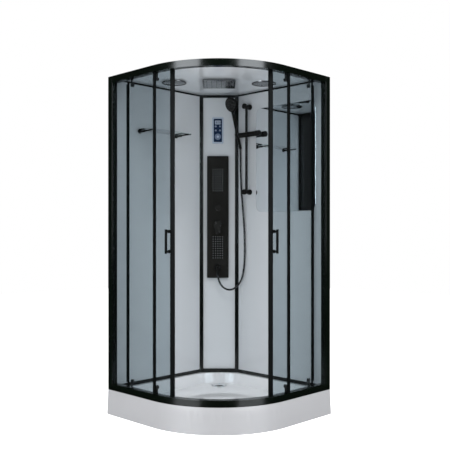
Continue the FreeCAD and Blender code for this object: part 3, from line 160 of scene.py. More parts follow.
hose_line = spline_points("hose_line", HOSE_ROUTE)
hose_run = sum((b - a).length for a, b in zip(hose_line, hose_line[1:]))
print("hose line:", len(hose_line), "points,", round(hose_run, 4), "m")

# %% [markdown]
# The hose is wrapped in a flat spiral strip, which shows as fine rings. A bevelled curve would
# give a smooth tube only, and a texture would leave its edge smooth. So a circle is extruded
# along the line in steps of about a millimetre and made a little narrower at every second
# pair of steps. The result is one closed mesh.

# %% Tube of the hose
UP = Vector((0, 0, 1))
HOSE_RADIUS = 0.007
RING_STEP = 0.0011
RING_SIDES = 12
RING_WIDTHS = (1.0, 1.0, 0.91, 0.91)


def facing(direction):
    """The turn that brings the upright axis into a direction."""
    return UP.rotation_difference(direction).to_matrix().to_4x4()


def evenly(points, step):
    """Places and directions at even steps along a line of points."""
    places = [(points[0], (points[1] - points[0]).normalized())]
    left = step
    for start, end in zip(points, points[1:]):
        run = (end - start).length
        direction = (end - start).normalized()
        while left <= run:
            places.append((start + direction * left, direction))
            left += step
        left -= run
    places.append((points[-1], (points[-1] - points[-2]).normalized()))
    return places


def wrapped_tube(points, radius):
    """A closed tube along a line, ringed like a wrapped hose."""
    shape = bmesh.new()
    places = evenly(points, RING_STEP)
    here, ahead = places[0]
    ring = bmesh.ops.create_circle(shape, cap_ends=True, segments=RING_SIDES, radius=radius,
                                   matrix=Matrix.Translation(here) @ facing(ahead))["verts"]
    edges = list({edge for vertex in ring for edge in vertex.link_edges})
    width = 1.0
    for number, (place, direction) in enumerate(places[1:]):
        grown = bmesh.ops.extrude_edge_only(shape, edges=edges)["geom"]
        ring = [part for part in grown if isinstance(part, bmesh.types.BMVert)]
        edges = [part for part in grown if isinstance(part, bmesh.types.BMEdge)
                 and all(vertex in ring for vertex in part.verts)]
        wanted = RING_WIDTHS[number % len(RING_WIDTHS)]
        bmesh.ops.translate(shape, verts=ring, vec=place - here)
        bmesh.ops.rotate(shape, verts=ring, cent=place,
                         matrix=ahead.rotation_difference(direction).to_matrix())
        bmesh.ops.scale(shape, verts=ring, vec=(wanted / width,) * 3,
                        space=Matrix.Translation(-place))
        here, ahead, width = place, direction, wanted
    bmesh.ops.contextual_create(shape, geom=edges)
    bmesh.ops.recalc_face_normals(shape, faces=shape.faces)
    return shape


tube = wrapped_tube(hose_line, HOSE_RADIUS)
print("hose tube:", len(tube.faces), "faces")

# %% [markdown]
# Every shape in this script is built as a bmesh, Blender's editable mesh in memory. One helper
# turns it into an object, with smooth shading that stops at turns sharper than a limit in
# degrees, and hangs it on the body that carries it, if one is given. The hose, which runs
# between the fixed elbow and the slider on its rail, is given no body here.

# %% The hose as a piece
SMOOTH_TURN = 30.0


def piece(name, shape, body, crease=SMOOTH_TURN):
    """Turns a finished bmesh into a piece at the origin that moves with a body."""
    mesh = bpy.data.meshes.new(name)
    shape.to_mesh(mesh)
    shape.free()
    mesh.shade_smooth()
    mesh.set_sharp_from_angle(angle=math.radians(crease))
    built = bpy.data.objects.new(name, mesh)
    bpy.context.scene.collection.objects.link(built)
    if body:
        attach(built, body)
    return built


hose = piece("wrapped_hose", tube, None)
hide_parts("shower_hose")
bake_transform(hose)
print("hose:", len(hose.data.polygons), "faces")

# %% [markdown]
# A product picture has its background lit on its own. Here one sky does both jobs: it is white
# where the camera sees it, sends soft light onto the cabin, and is nearly black where it is
# mirrored, because a black frame that mirrored a white studio would look grey. The Light Path
# node tells these rays apart.

# %% Sky
SKY_SEEN = 1.0
SKY_SENT = 1.0
SKY_MIRRORED = 0.02


def node(tree, kind, **values):
    """Adds a node and sets its settings."""
    made = tree.nodes.new(kind)
    for name, value in values.items():
        setattr(made, name, value)
    return made


world = bpy.data.worlds.new("studio")
bpy.context.scene.world = world
world.use_nodes = True
sky = world.node_tree
backdrop = sky.nodes["Background"]
backdrop.inputs["Color"].default_value = (1, 1, 1, 1)
rays = node(sky, "ShaderNodeLightPath")
sent = node(sky, "ShaderNodeMix", data_type="FLOAT")
sent.inputs["A"].default_value = SKY_SENT
sent.inputs["B"].default_value = SKY_MIRRORED
seen = node(sky, "ShaderNodeMix", data_type="FLOAT")
seen.inputs["B"].default_value = SKY_SEEN
sky.links.new(rays.outputs["Is Glossy Ray"], sent.inputs["Factor"])
sky.links.new(rays.outputs["Is Camera Ray"], seen.inputs["Factor"])
sky.links.new(sent.outputs["Result"], seen.inputs["A"])
sky.links.new(seen.outputs["Result"], backdrop.inputs["Strength"])
print("sky:", SKY_SENT, "sent,", SKY_MIRRORED, "mirrored")

# %% [markdown]
# The cabin stands on a plain pale floor. The floor gives back soft light like matt paper, and
# the camera sees it as white as the sky, so no line shows where they meet. It is left out of
# reflections, so the black frame stays black, and it casts no shadow, so that lamps can also
# shine from below its level.

# %% Floor
FLOOR_HALF = 9.0
FLOOR_LEVEL = -0.0005
FLOOR_TONE = (0.78, 0.78, 0.78, 1)
FLOOR_GLOW = 1.0

floor_shape = bmesh.new()
bmesh.ops.create_grid(floor_shape, x_segments=1, y_segments=1, size=FLOOR_HALF,
                      matrix=Matrix.Translation((0, 0, FLOOR_LEVEL)))
floor_mesh = bpy.data.meshes.new("studio_floor")
floor_shape.to_mesh(floor_mesh)
floor_shape.free()
studio_floor = bpy.data.objects.new("studio_floor", floor_mesh)
bpy.context.scene.collection.objects.link(studio_floor)
studio_floor.visible_glossy = False
studio_floor.visible_shadow = False

floor_paint = bpy.data.materials.new("studio_floor")
floor_paint.use_nodes = True
ground = floor_paint.node_tree
ground.nodes.remove(ground.nodes["Principled BSDF"])
matt = node(ground, "ShaderNodeBsdfDiffuse")
matt.inputs["Color"].default_value = FLOOR_TONE
glow = node(ground, "ShaderNodeEmission")
glow.inputs["Strength"].default_value = FLOOR_GLOW
lit = node(ground, "ShaderNodeAddShader")
pick_seen = node(ground, "ShaderNodeMixShader")
path = node(ground, "ShaderNodeLightPath")
ground.links.new(matt.outputs[0], lit.inputs[0])
ground.links.new(glow.outputs[0], lit.inputs[1])
ground.links.new(path.outputs["Is Camera Ray"], pick_seen.inputs[0])
ground.links.new(matt.outputs[0], pick_seen.inputs[1])
ground.links.new(lit.outputs[0], pick_seen.inputs[2])
ground.links.new(pick_seen.outputs[0], ground.nodes["Material Output"].inputs["Surface"])
floor_mesh.materials.append(floor_paint)
print("studio floor", 2 * FLOOR_HALF, "m wide")

# %% [markdown]
# Soft boxes stand left and right of the camera. On each side a tall lamp is seen only as a
# reflection, which makes the bright bars on the curved rails. A weaker one below it does the
# same for the lower rail, and a third one gives only soft light. One lamp that did all of
# this could not be tuned: bars bright enough for the rails would wash out the white walls. A
# smaller lamp high in front of the cabin adds soft light for the tray.

# %% Soft boxes
BOX_SIDE = 2.744
BOX_FRONT = 3.270
BOX_WIDTH = 2.5
AIM_SIDE = 0.18
AIM_FRONT = 0.44
GLEAM_COLOUR = (0.90, 0.95, 1.0)
BOX_LAYERS = (
    # lowest, highest, radiance, seen only as a reflection
    (0.9, 4.3, 7.9, True),
    (-0.5, 2.8, 2.7, False),
    (-2.4, 0.9, 2.0, True),
)
TOP_PLACE = (0.0, -2.4, 4.6)
TOP_AIM = (0.0, 0.0, 0.1)
TOP_SIZE = 1.6
TOP_FILL = 8.0


def soft_box(place, target, size, radiance, mirrored):
    """A flat lamp that faces a target and is seen only as a reflection, or not at all."""
    lamp = bpy.data.lights.new("soft_box", "AREA")
    lamp.shape = "RECTANGLE"
    lamp.size, lamp.size_y = size
    lamp.energy = radiance * math.pi * lamp.size * lamp.size_y
    if mirrored:
        lamp.color = GLEAM_COLOUR
    box = bpy.data.objects.new("soft_box", lamp)
    box.location = place
    box.rotation_euler = (target - place).to_track_quat("-Z", "Y").to_euler()
    box.visible_glossy = mirrored
    box.visible_diffuse = not mirrored
    bpy.context.scene.collection.objects.link(box)


for side in (-1, 1):
    for low, high, radiance, mirrored in BOX_LAYERS:
        middle = (low + high) / 2
        soft_box(along_diagonal(side * BOX_SIDE, -BOX_FRONT, middle),
                 along_diagonal(side * AIM_SIDE, -AIM_FRONT, middle),
                 (BOX_WIDTH, high - low), radiance, mirrored)
soft_box(along_diagonal(*TOP_PLACE), along_diagonal(*TOP_AIM), (TOP_SIZE, TOP_SIZE), TOP_FILL,
         False)
print("soft boxes:", 2 * len(BOX_LAYERS) + 1)

# %% [markdown]
# Real finishes are never one flat value. Acrylic and painted panels are wiped and handled, so
# their gloss changes from place to place. Every material could have a noise texture of its
# own for this, but then each change would have to be made many times. A node group with named
# inputs is built once, and the materials place it with their own numbers. This first effect
# turns noise into a roughness between two limits.

# %% Gloss that drifts
GLOSS_SPREAD = (0.35, 0.65)


def effect(name, inputs, output):
    """An empty node group with named inputs and one output."""
    group = bpy.data.node_groups.new(name, "ShaderNodeTree")
    for label, kind, value in inputs:
        socket = group.interface.new_socket(label, in_out="INPUT", socket_type=kind)
        socket.default_value = value
    group.interface.new_socket(output[0], in_out="OUTPUT", socket_type=output[1])
    return group, node(group, "NodeGroupInput"), node(group, "NodeGroupOutput")


def noise_in(group, source, detail, stretch=None):
    """Value of noise over the object's own coordinates, with the group's Scale."""
    place = node(group, "ShaderNodeTexCoord").outputs["Object"]
    if stretch:
        mapping = node(group, "ShaderNodeMapping")
        mapping.inputs["Scale"].default_value = stretch
        group.links.new(place, mapping.inputs["Vector"])
        place = mapping.outputs["Vector"]
    noise = node(group, "ShaderNodeTexNoise")
    noise.inputs["Detail"].default_value = detail
    group.links.new(place, noise.inputs["Vector"])
    group.links.new(source.outputs["Scale"], noise.inputs["Scale"])
    return noise.outputs["Fac"]


def spread_out(group, value, limits):
    """A range node that stretches what lies between two limits over its whole range."""
    spread = node(group, "ShaderNodeMapRange")
    spread.inputs["From Min"].default_value = limits[0]
    spread.inputs["From Max"].default_value = limits[1]
    group.links.new(value, spread.inputs["Value"])
    return spread


def patchy_gloss():
    """Roughness that drifts between two values."""
    group, source, out = effect("patchy_gloss", [
        ("Scale", "NodeSocketFloat", 4.0), ("Low", "NodeSocketFloat", 0.1),
        ("High", "NodeSocketFloat", 0.2)], ("Roughness", "NodeSocketFloat"))
    spread = spread_out(group, noise_in(group, source, 3.0), GLOSS_SPREAD)
    group.links.new(source.outputs["Low"], spread.inputs["To Min"])
    group.links.new(source.outputs["High"], spread.inputs["To Max"])
    group.links.new(spread.outputs["Result"], out.inputs["Roughness"])
    return group


effects = {"patchy_gloss": patchy_gloss()}
print("effects:", ", ".join(effects))

# %% [markdown]
# A moulded or painted surface also changes a little in tone. A picture of such a surface would
# repeat, and it would have to be unwrapped onto each piece. Noise over the object's own
# coordinates has no seams, so it mixes two colours here that are nearly alike.

# %% Tone that drifts
TONE_SPREAD = (0.3, 0.7)


def tone_drift():
    """Colour that drifts between two tones."""
    group, source, out = effect("tone_drift", [
        ("Scale", "NodeSocketFloat", 3.0), ("Tone", "NodeSocketColor", (0.8, 0.8, 0.8, 1)),
        ("Other Tone", "NodeSocketColor", (0.7, 0.7, 0.7, 1))], ("Colour", "NodeSocketColor"))
    spread = spread_out(group, noise_in(group, source, 2.0), TONE_SPREAD)
    mix = node(group, "ShaderNodeMix", data_type="RGBA")
    group.links.new(spread.outputs["Result"], mix.inputs["Factor"])
    group.links.new(source.outputs["Tone"], mix.inputs["A"])
    group.links.new(source.outputs["Other Tone"], mix.inputs["B"])
    group.links.new(mix.outputs["Result"], out.inputs["Colour"])
    return group


effects["tone_drift"] = tone_drift()
print("effects:", ", ".join(effects))

# %% [markdown]
# Powder coat and plastic have a fine grain, and brushed steel has fine upright lines. As real
# geometry this would take millions of faces, so noise becomes the height of a bump instead.
# The lines come from the same noise, drawn out along the upright axis.

# %% Grain and brushed lines
BRUSH_STRETCH = (1.0, 1.0, 0.02)


def relief(name, scale, stretch=None):
    """Height of a fine relief, even or drawn out into lines."""
    group, source, out = effect(name, [("Scale", "NodeSocketFloat", scale)],
                                ("Height", "NodeSocketFloat"))
    group.links.new(noise_in(group, source, 2.0, stretch), out.inputs["Height"])
    return group


effects["fine_grain"] = relief("fine_grain", 800.0)
effects["brushed_lines"] = relief("brushed_lines", 900.0, BRUSH_STRETCH)
print("effects:", ", ".join(effects))

# %% [markdown]
# Every finish starts from the same recipe: a colour with its drift, a gloss that varies and
# a relief. What differs is the numbers. Values that are the same all over the surface, such
# as how metallic it is, are set straight on the shader, because only those survive an
# export to other programs. Painting each finish by hand in image textures would look richer
# close up, but it would need pictures beside the script.

# %% One recipe for the finishes
finishes = {}


def placed_effect(material, name, **values):
    """Puts a shared effect into a material with its own values."""
    made = node(material.node_tree, "ShaderNodeGroup", node_tree=effects[name])
    for label, value in values.items():
        made.inputs[label.replace("_", " ")].default_value = value
    return made


def finish(name, tone, other, gloss, grain, drift=3.0, surface="fine_grain", **plain):
    """A finish from two tones, gloss (scale, low, high) and grain (scale, depth in mm)."""
    material = bpy.data.materials.new(name)
    material.use_nodes = True
    links = material.node_tree.links
    shader = material.node_tree.nodes["Principled BSDF"]
    colour = placed_effect(material, "tone_drift", Scale=drift, Tone=(*tone, 1),
                           Other_Tone=(*other, 1))
    rough = placed_effect(material, "patchy_gloss", Scale=gloss[0], Low=gloss[1],
                          High=gloss[2])
    height = placed_effect(material, surface, Scale=grain[0])
    bump = node(material.node_tree, "ShaderNodeBump")
    bump.inputs["Distance"].default_value = grain[1] * MM
    bump.inputs["Strength"].default_value = 1.0
    links.new(height.outputs["Height"], bump.inputs["Height"])
    links.new(bump.outputs["Normal"], shader.inputs["Normal"])
    links.new(colour.outputs["Colour"], shader.inputs["Base Color"])
    links.new(rough.outputs["Roughness"], shader.inputs["Roughness"])
    for label, value in plain.items():
        shader.inputs[label.replace("_", " ")].default_value = value
    finishes[name] = material
    return material


print("recipe ready, with", len(effects), "effects")

# %% [markdown]
# The tray is vacuum-formed acrylic, thick, white and glossy, with the very slight waviness
# that a formed sheet keeps. Its skirt is the same sheet with a duller skin, so it shows no
# bars of light. The skirt's tone is set to about half the tray's: that is painted shade on the
# upright skirt, not a colour of the sheet. The wall, column and roof panels are flat sheets
# with a hard gloss film, a touch cooler in tone, and they mirror the black posts softly. A thin
# clear coat over a slightly rougher base gives that double gloss better than one low roughness
# would. The control unit's housing is plain plastic in a bluish white, without a coat.

# %% White finishes
finish("acrylic", (0.87, 0.87, 0.89), (0.85, 0.855, 0.87), (5.0, 0.05, 0.09), (12.0, 0.02),
       Coat_Weight=0.5, Coat_Roughness=0.03)
# The skirt's tone, about half the tray's, is painted shade: the sheet is the same as the
# tray's.
finish("acrylic_skirt", (0.42, 0.425, 0.443), (0.41, 0.415, 0.433), (5.0, 0.34, 0.42),
       (12.0, 0.02), Coat_Weight=0.1, Coat_Roughness=0.3)
finish("wall_panel", (0.65, 0.665, 0.69), (0.64, 0.655, 0.68), (4.0, 0.04, 0.07),
       (10.0, 0.01), Coat_Weight=0.4, Coat_Roughness=0.02)
finish("column_white", (0.73, 0.745, 0.77), (0.72, 0.735, 0.76), (4.0, 0.05, 0.08),
       (10.0, 0.01), Coat_Weight=0.4, Coat_Roughness=0.02)
finish("roof_white", (0.75, 0.77, 0.80), (0.73, 0.75, 0.78), (4.0, 0.06, 0.11),
       (30.0, 0.02), Coat_Weight=0.3, Coat_Roughness=0.03)
finish("control_white", (0.52, 0.59, 0.70), (0.50, 0.57, 0.68), (30.0, 0.14, 0.2),
       (300.0, 0.01))
print("white finishes:", len(finishes))

# %% [markdown]
# The frame is extruded aluminium with a black powder coat: almost no colour, a satin gloss
# and a grain finer than a millimetre. The fittings have a softer gloss, and the shower panel
# is matt, with the two dials on it a little paler. The door stiles and handles face the lamps
# squarely, so their coat mirrors the least. Blacks differ mostly in how they mirror the lamps,
# so the roughness and the specular level were tuned here rather than the colour.

# %% Black finishes
finish("black_profile", (0.0011, 0.0029, 0.0014), (0.0009, 0.0025, 0.0012),
       (20.0, 0.17, 0.21), (1500.0, 0.003))
finish("profile_matt", (0.0026, 0.0034, 0.0034), (0.0022, 0.0029, 0.0029),
       (20.0, 0.42, 0.52), (1500.0, 0.003), Specular_IOR_Level=0.04)
finish("satin_black", (0.010, 0.0096, 0.009), (0.008, 0.0077, 0.0072), (30.0, 0.28, 0.36),
       (900.0, 0.004), Specular_IOR_Level=0.10)
finish("matt_black", (0.018, 0.0165, 0.0145), (0.016, 0.0145, 0.0125), (12.0, 0.42, 0.52),
       (1200.0, 0.008), Specular_IOR_Level=0.06)
finish("satin_dial", (0.021, 0.0195, 0.0175), (0.019, 0.0175, 0.0155), (30.0, 0.22, 0.30),
       (900.0, 0.004), Specular_IOR_Level=0.5)
finish("hanger_metal", (0.012, 0.012, 0.012), (0.009, 0.009, 0.009), (40.0, 0.3, 0.4),
       (900.0, 0.006))
finish("hose_black", (0.013, 0.013, 0.014), (0.009, 0.009, 0.010), (60.0, 0.22, 0.34),
       (700.0, 0.01))
finish("feet", (0.03, 0.03, 0.03), (0.022, 0.022, 0.022), (30.0, 0.45, 0.6), (500.0, 0.03))
finish("roller_plastic", (0.06, 0.06, 0.058), (0.05, 0.05, 0.048), (60.0, 0.3, 0.42),
       (900.0, 0.008))
jets = finish("jet_rubber", (0.010, 0.0105, 0.0095), (0.008, 0.0085, 0.0075),
              (30.0, 0.45, 0.55), (900.0, 0.008), Specular_IOR_Level=0.06)
print("with the black finishes:", len(finishes))

# %% [markdown]
# The rubber jets are one moulding with their plate, and their tips are paler. Two materials
# would need the faces sorted by hand. Instead the finish asks how far a point lies along the
# diagonal: whatever stands in front of the plate's face is a tip.

# %% Paler tips of the jets
JET_PLATE_FACE = 0.5402
JET_TIP_TONE = (0.24, 0.24, 0.24, 1)

tree = jets.node_tree
spot = node(tree, "ShaderNodeTexCoord")
depth = node(tree, "ShaderNodeVectorMath", operation="DOT_PRODUCT")
depth.inputs[1].default_value = INTO_CORNER
proud = node(tree, "ShaderNodeMath", operation="LESS_THAN")
proud.inputs[1].default_value = JET_PLATE_FACE
tipped = node(tree, "ShaderNodeMix", data_type="RGBA")
tipped.inputs["B"].default_value = JET_TIP_TONE
shader = tree.nodes["Principled BSDF"]
under = shader.inputs["Base Color"].links[0].from_socket
tree.links.new(spot.outputs["Object"], depth.inputs[0])
tree.links.new(depth.outputs["Value"], proud.inputs[0])
tree.links.new(proud.outputs[0], tipped.inputs["Factor"])
tree.links.new(under, tipped.inputs["A"])
tree.links.new(tipped.outputs["Result"], shader.inputs["Base Color"])
tip_length = JET_PLATE_FACE - start_of("jet_nozzles", INTO_CORNER)
print("jet tips stand", round(tip_length, PLACE_DIGITS), "m in front of their plate")

# %% [markdown]
# Bare metals: polished covers and waste, the mirror's silver, the galvanised frame under the
# tray, brushed steel on the steam generator and the raw brass of the valve. All are metallic,
# and their colour, gloss and relief tell them apart, so they share the recipe. Below them are
# plain plastic mouldings, the dark face of the control unit and its keys, which glow very
# faintly.

# %% Metals and mouldings
finish("chrome_cover", (0.78, 0.79, 0.80), (0.74, 0.75, 0.76), (20.0, 0.05, 0.12),
       (600.0, 0.002), Metallic=1.0)
finish("mirror_cover", (0.30, 0.31, 0.32), (0.28, 0.29, 0.30), (15.0, 0.18, 0.26),
       (700.0, 0.002), Metallic=1.0)
finish("mirror_silver", (0.90, 0.93, 0.95), (0.89, 0.92, 0.94), (3.0, 0.01, 0.02),
       (4.0, 0.0002), Metallic=1.0)
finish("frame_steel", (0.42, 0.43, 0.44), (0.30, 0.31, 0.32), (60.0, 0.32, 0.5),
       (250.0, 0.01), drift=70.0, Metallic=0.9)
finish("screw_steel", (0.30, 0.30, 0.30), (0.22, 0.22, 0.22), (200.0, 0.2, 0.35),
       (900.0, 0.004), Metallic=1.0)
finish("generator_steel", (0.58, 0.59, 0.60), (0.52, 0.53, 0.54), (20.0, 0.24, 0.34),
       (900.0, 0.01), surface="brushed_lines", Metallic=1.0)
finish("brass_body", (0.72, 0.53, 0.25), (0.62, 0.44, 0.19), (80.0, 0.3, 0.48),
       (400.0, 0.03), drift=25.0, Metallic=1.0)
finish("trap_plastic", (0.52, 0.53, 0.54), (0.49, 0.50, 0.51), (30.0, 0.35, 0.48),
       (400.0, 0.015))
finish("grey_plastic", (0.42, 0.43, 0.44), (0.39, 0.40, 0.41), (30.0, 0.38, 0.5),
       (500.0, 0.015))
finish("display_glass", (0.016, 0.032, 0.075), (0.013, 0.028, 0.066), (30.0, 0.06, 0.1),
       (60.0, 0.001), Coat_Weight=0.5, Coat_Roughness=0.03)
finish("key_face", (0.17, 0.21, 0.31), (0.15, 0.19, 0.29), (80.0, 0.3, 0.4), (900.0, 0.004),
       Emission_Color=(0.5, 0.6, 0.8, 1), Emission_Strength=0.02)
print("finishes:", len(finishes))

# %% [markdown]
# The panes are tempered glass tinted a light blue-grey. Looking through two of them is
# hardly darker than through one, so only the first pane that a ray meets tints it: the shader
# asks how many see-through surfaces the ray has already passed and whether it sees the back
# of a face. A refracting glass shader would be truer at the edges, but it is noisy and turns
# dark behind several panes. Faint smears in the gloss keep the glass from looking like air.

# %% Glass finishes
BEFORE_ANY_PANE = 0.5


def glass(name, tint, body, cover, gloss):
    """A see-through finish that tints what is behind the first pane met by a ray."""
    material = finish(name, body, body, gloss, (20.0, 0.002), drift=1.5,
                      Specular_IOR_Level=0.25)
    tree = material.node_tree
    ray = node(tree, "ShaderNodeLightPath")
    first = node(tree, "ShaderNodeMath", operation="LESS_THAN")
    first.inputs[1].default_value = BEFORE_ANY_PANE
    face = node(tree, "ShaderNodeNewGeometry")
    front = node(tree, "ShaderNodeMath", operation="SUBTRACT")
    front.inputs[0].default_value = 1.0
    both = node(tree, "ShaderNodeMath", operation="MULTIPLY")
    share = node(tree, "ShaderNodeMath", operation="MULTIPLY")
    share.inputs[1].default_value = cover
    passed = node(tree, "ShaderNodeMix", data_type="RGBA")
    passed.inputs["A"].default_value = (1, 1, 1, 1)
    passed.inputs["B"].default_value = (*tint, 1)
    clear = node(tree, "ShaderNodeBsdfTransparent")
    pane = node(tree, "ShaderNodeMixShader")
    tree.links.new(ray.outputs["Transparent Depth"], first.inputs[0])
    tree.links.new(face.outputs["Backfacing"], front.inputs[1])
    tree.links.new(first.outputs[0], both.inputs[0])
    tree.links.new(front.outputs[0], both.inputs[1])
    tree.links.new(both.outputs[0], share.inputs[0])
    tree.links.new(both.outputs[0], passed.inputs["Factor"])
    tree.links.new(passed.outputs["Result"], clear.inputs["Color"])
    tree.links.new(share.outputs[0], pane.inputs[0])
    tree.links.new(clear.outputs[0], pane.inputs[1])
    tree.links.new(tree.nodes["Principled BSDF"].outputs[0], pane.inputs[2])
    tree.links.new(pane.outputs[0], tree.nodes["Material Output"].inputs["Surface"])
    return material


glass("tinted_glass", (0.41, 0.48, 0.51), (0.02, 0.024, 0.026), 0.08, (6.0, 0.02, 0.06))
glass("shelf_clear", (0.72, 0.80, 0.80), (0.30, 0.36, 0.37), 0.25, (8.0, 0.03, 0.06))
print("with the glass:", len(finishes), "finishes")

# %% [markdown]
# Some parts are too fine for the CAD model: the soft cones of the body jets, the union nuts at
# both ends of the hose, the rim and nozzles of the hand shower, the dark bezels of the two
# round covers in the ceiling, which are partly painted shade, and the marks on the control
# unit. All of them are bars, rings or blocks, so three helpers build them from Blender's own
# primitives. Each starts on or a little inside the CAD surface that carries it, so no gap
# shows.

# %% Shapes for small parts

def frustum(shape, base, top, base_radius, top_radius, segments):
    """A round bar or cone between two points."""
    axis = top - base
    bmesh.ops.create_cone(shape, cap_ends=True, segments=segments, radius1=base_radius,
                          radius2=top_radius, depth=axis.length,
                          matrix=Matrix.Translation((base + top) / 2) @ facing(axis))


def ring(shape, place, direction, outer, inner, height, segments):
    """A flat ring that stands up along a direction."""
    rim = bmesh.ops.create_circle(shape, cap_ends=True, segments=segments, radius=outer,
                                  matrix=Matrix.Translation(place) @ facing(direction))
    disc = rim["verts"][0].link_faces[0]
    band = bmesh.ops.inset_region(shape, faces=[disc], thickness=outer - inner,
                                  use_boundary=True, use_even_offset=True)["faces"]
    bmesh.ops.delete(shape, geom=[disc], context="FACES_ONLY")
    grown = bmesh.ops.extrude_face_region(shape, geom=band)["geom"]
    corners = [part for part in grown if isinstance(part, bmesh.types.BMVert)]
    bmesh.ops.translate(shape, verts=corners, vec=direction * height)


def block(shape, across, upward, inward):
    """A block from ranges across the diagonal, upward and into the corner, in metres."""
    middle = [sum(run) / 2 for run in (across, inward, upward)]
    sides = [run[1] - run[0] for run in (across, inward, upward)]
    bmesh.ops.create_cube(shape, size=1, matrix=Matrix.Rotation(DIAGONAL, 4, "Z")
                          @ Matrix.Translation(middle) @ Matrix.Diagonal((*sides, 1)))


def small_part(name, shape, slot, body):
    """Finishes a bmesh of small parts as one piece with its material."""
    bmesh.ops.recalc_face_normals(shape, faces=shape.faces)
    made = piece(name, shape, body)
    made.data.materials.append(finishes[slot])
    print(name + ":", len(made.data.polygons), "faces on", body)
    return made


print("shapes ready: round bars, rings and blocks")

# %% [markdown]
# The shower panel has two fields of body jets, each with fifty soft rubber cones. They are set
# out on an even pitch about the middle of their field. An array modifier could repeat one
# cone, but a plain double loop shows the layout and gives one finished mesh.

# %% Jet cones
JET_MIDDLE = -0.009
JET_FIELDS = (1.530, 1.050)
JET_PITCH = 0.0168
JET_COLUMNS = 5
JET_ROWS = 10
JET_SEAT = 0.5407
JET_TIP = 0.5369
JET_SEAT_RADIUS = 3.7 * MM
JET_TIP_RADIUS = 3.1 * MM
JET_SIDES = 12

cones = bmesh.new()
for height in JET_FIELDS:
    for column in range(JET_COLUMNS):
        for row in range(JET_ROWS):
            u = JET_MIDDLE + JET_PITCH * (column - (JET_COLUMNS - 1) / 2)
            z = height + JET_PITCH * (row - (JET_ROWS - 1) / 2)
            frustum(cones, along_diagonal(u, JET_SEAT, z), along_diagonal(u, JET_TIP, z),
                    JET_SEAT_RADIUS, JET_TIP_RADIUS, JET_SIDES)
small_part("jet_cones", cones, "jet_rubber", "cabin")

# %% [markdown]
# The display of the control unit is a pale window with dark digits. Text could be typed as a
# font object, but a display like this draws each digit from up to seven straight strokes, and
# seven small blocks give just that look. The window lies on the display's face, and the digits
# lie on the window.

# %% Display window and digits
MARK_DEPTH = 0.0004
LCD_ACROSS = (-0.029, 0.011)
LCD_UPWARD = (1.929, 1.956)
DIGIT_WIDTH = 0.008
DIGIT_HEIGHT = 0.015
DIGIT_STROKE = 0.0018
DIGITS = (("abcdefg", -0.0225), ("abcdef", -0.0105), ("acdefg", 0.0015))

display_face = start_of("control_display", INTO_CORNER)
window = bmesh.new()
block(window, LCD_ACROSS, LCD_UPWARD, (display_face - MARK_DEPTH, display_face))
small_part("lcd_window", window, "control_white", "cabin")

strokes = bmesh.new()
digit_low = sum(LCD_UPWARD) / 2 - DIGIT_HEIGHT / 2
digit_face = (display_face - 2 * MARK_DEPTH, display_face - MARK_DEPTH)
low, middle, high = (digit_low + DIGIT_HEIGHT * step / 2 for step in range(3))
for lit_strokes, left in DIGITS:
    right = left + DIGIT_WIDTH
    stroke_places = {
        "a": ((left, right), (high - DIGIT_STROKE, high)),
        "d": ((left, right), (low, low + DIGIT_STROKE)),
        "g": ((left, right), (middle - DIGIT_STROKE / 2, middle + DIGIT_STROKE / 2)),
        "f": ((left, left + DIGIT_STROKE), (middle, high)),
        "b": ((right - DIGIT_STROKE, right), (middle, high)),
        "e": ((left, left + DIGIT_STROKE), (low, middle)),
        "c": ((right - DIGIT_STROKE, right), (low, middle)),
    }
    for letter in lit_strokes:
        block(strokes, *stroke_places[letter], digit_face)
small_part("lcd_digits", strokes, "display_glass", "cabin")

# %% [markdown]
# The four small keys under the display carry a printed ring with a bar, as power keys do.
# Each mark is a thin solid on its key's face and moves with that key, so it goes in with it
# when the key is pressed. A picture of the mark as a texture would be blurred this close.

# %% Marks on the keys
ACROSS = along_diagonal(1, 0, 0)
MARK_OUTER = 4.2 * MM
MARK_INNER = 3.2 * MM
MARK_SIDES = 24
BAR_HALF = 0.0005
BAR_HEIGHT = 0.0055


def middle_of(node_name, direction):
    """Where the middle of a CAD piece lies, to a tenth of a millimetre."""
    return round(sum(reach(node_name, direction)) / 2, PLACE_DIGITS)


for key in ("key_1", "key_2", "key_3", "key_4"):
    mark = bmesh.new()
    key_face = start_of(key, INTO_CORNER)
    u = middle_of(key, ACROSS)
    z = middle_of(key, UP)
    ring(mark, along_diagonal(u, key_face + MARK_DEPTH, z), -INTO_CORNER, MARK_OUTER,
         MARK_INNER, 2 * MARK_DEPTH, MARK_SIDES)
    block(mark, (u - BAR_HALF, u + BAR_HALF), (z, z + BAR_HEIGHT),
          (key_face - MARK_DEPTH, key_face))
    small_part(key.replace("key", "key_mark"), mark, "control_white", key)

# %% [markdown]
# A tapered union nut closes each end of the hose: one on the tail of the hand shower's handle,
# which leans in its holder, and one under the elbow on the panel. A bevelled cylinder would
# look turned, while a cone with eight flat sides looks like a nut for a spanner. With the nuts
# made, the hose, which hangs between two fittings of the cabin, gets its black finish.

# %% Union nuts and the hose's finish
HANDLE_LEAN = math.radians(17)
HANDLE_BELOW = 0.062
HOLDER = Vector((-0.259, 0.446, 1.840))
ALONG = Vector((0, -math.sin(HANDLE_LEAN), math.cos(HANDLE_LEAN)))
HANDLE_TAIL = HOLDER - ALONG * HANDLE_BELOW
ELBOW_END = Vector([MM * c for c in HOSE_ROUTE[-1]])
NUT_SIDES = 8
NUT_RADIUS = 9.6 * MM
HANDLE_NUT_RADIUS = 10.2 * MM
HANDLE_NUT_GRIP = 0.004
HANDLE_NUT_REACH = 0.032
ELBOW_NUT_RADIUS = 11.4 * MM
ELBOW_NUT_GRIP = 0.003
ELBOW_NUT_REACH = 0.026

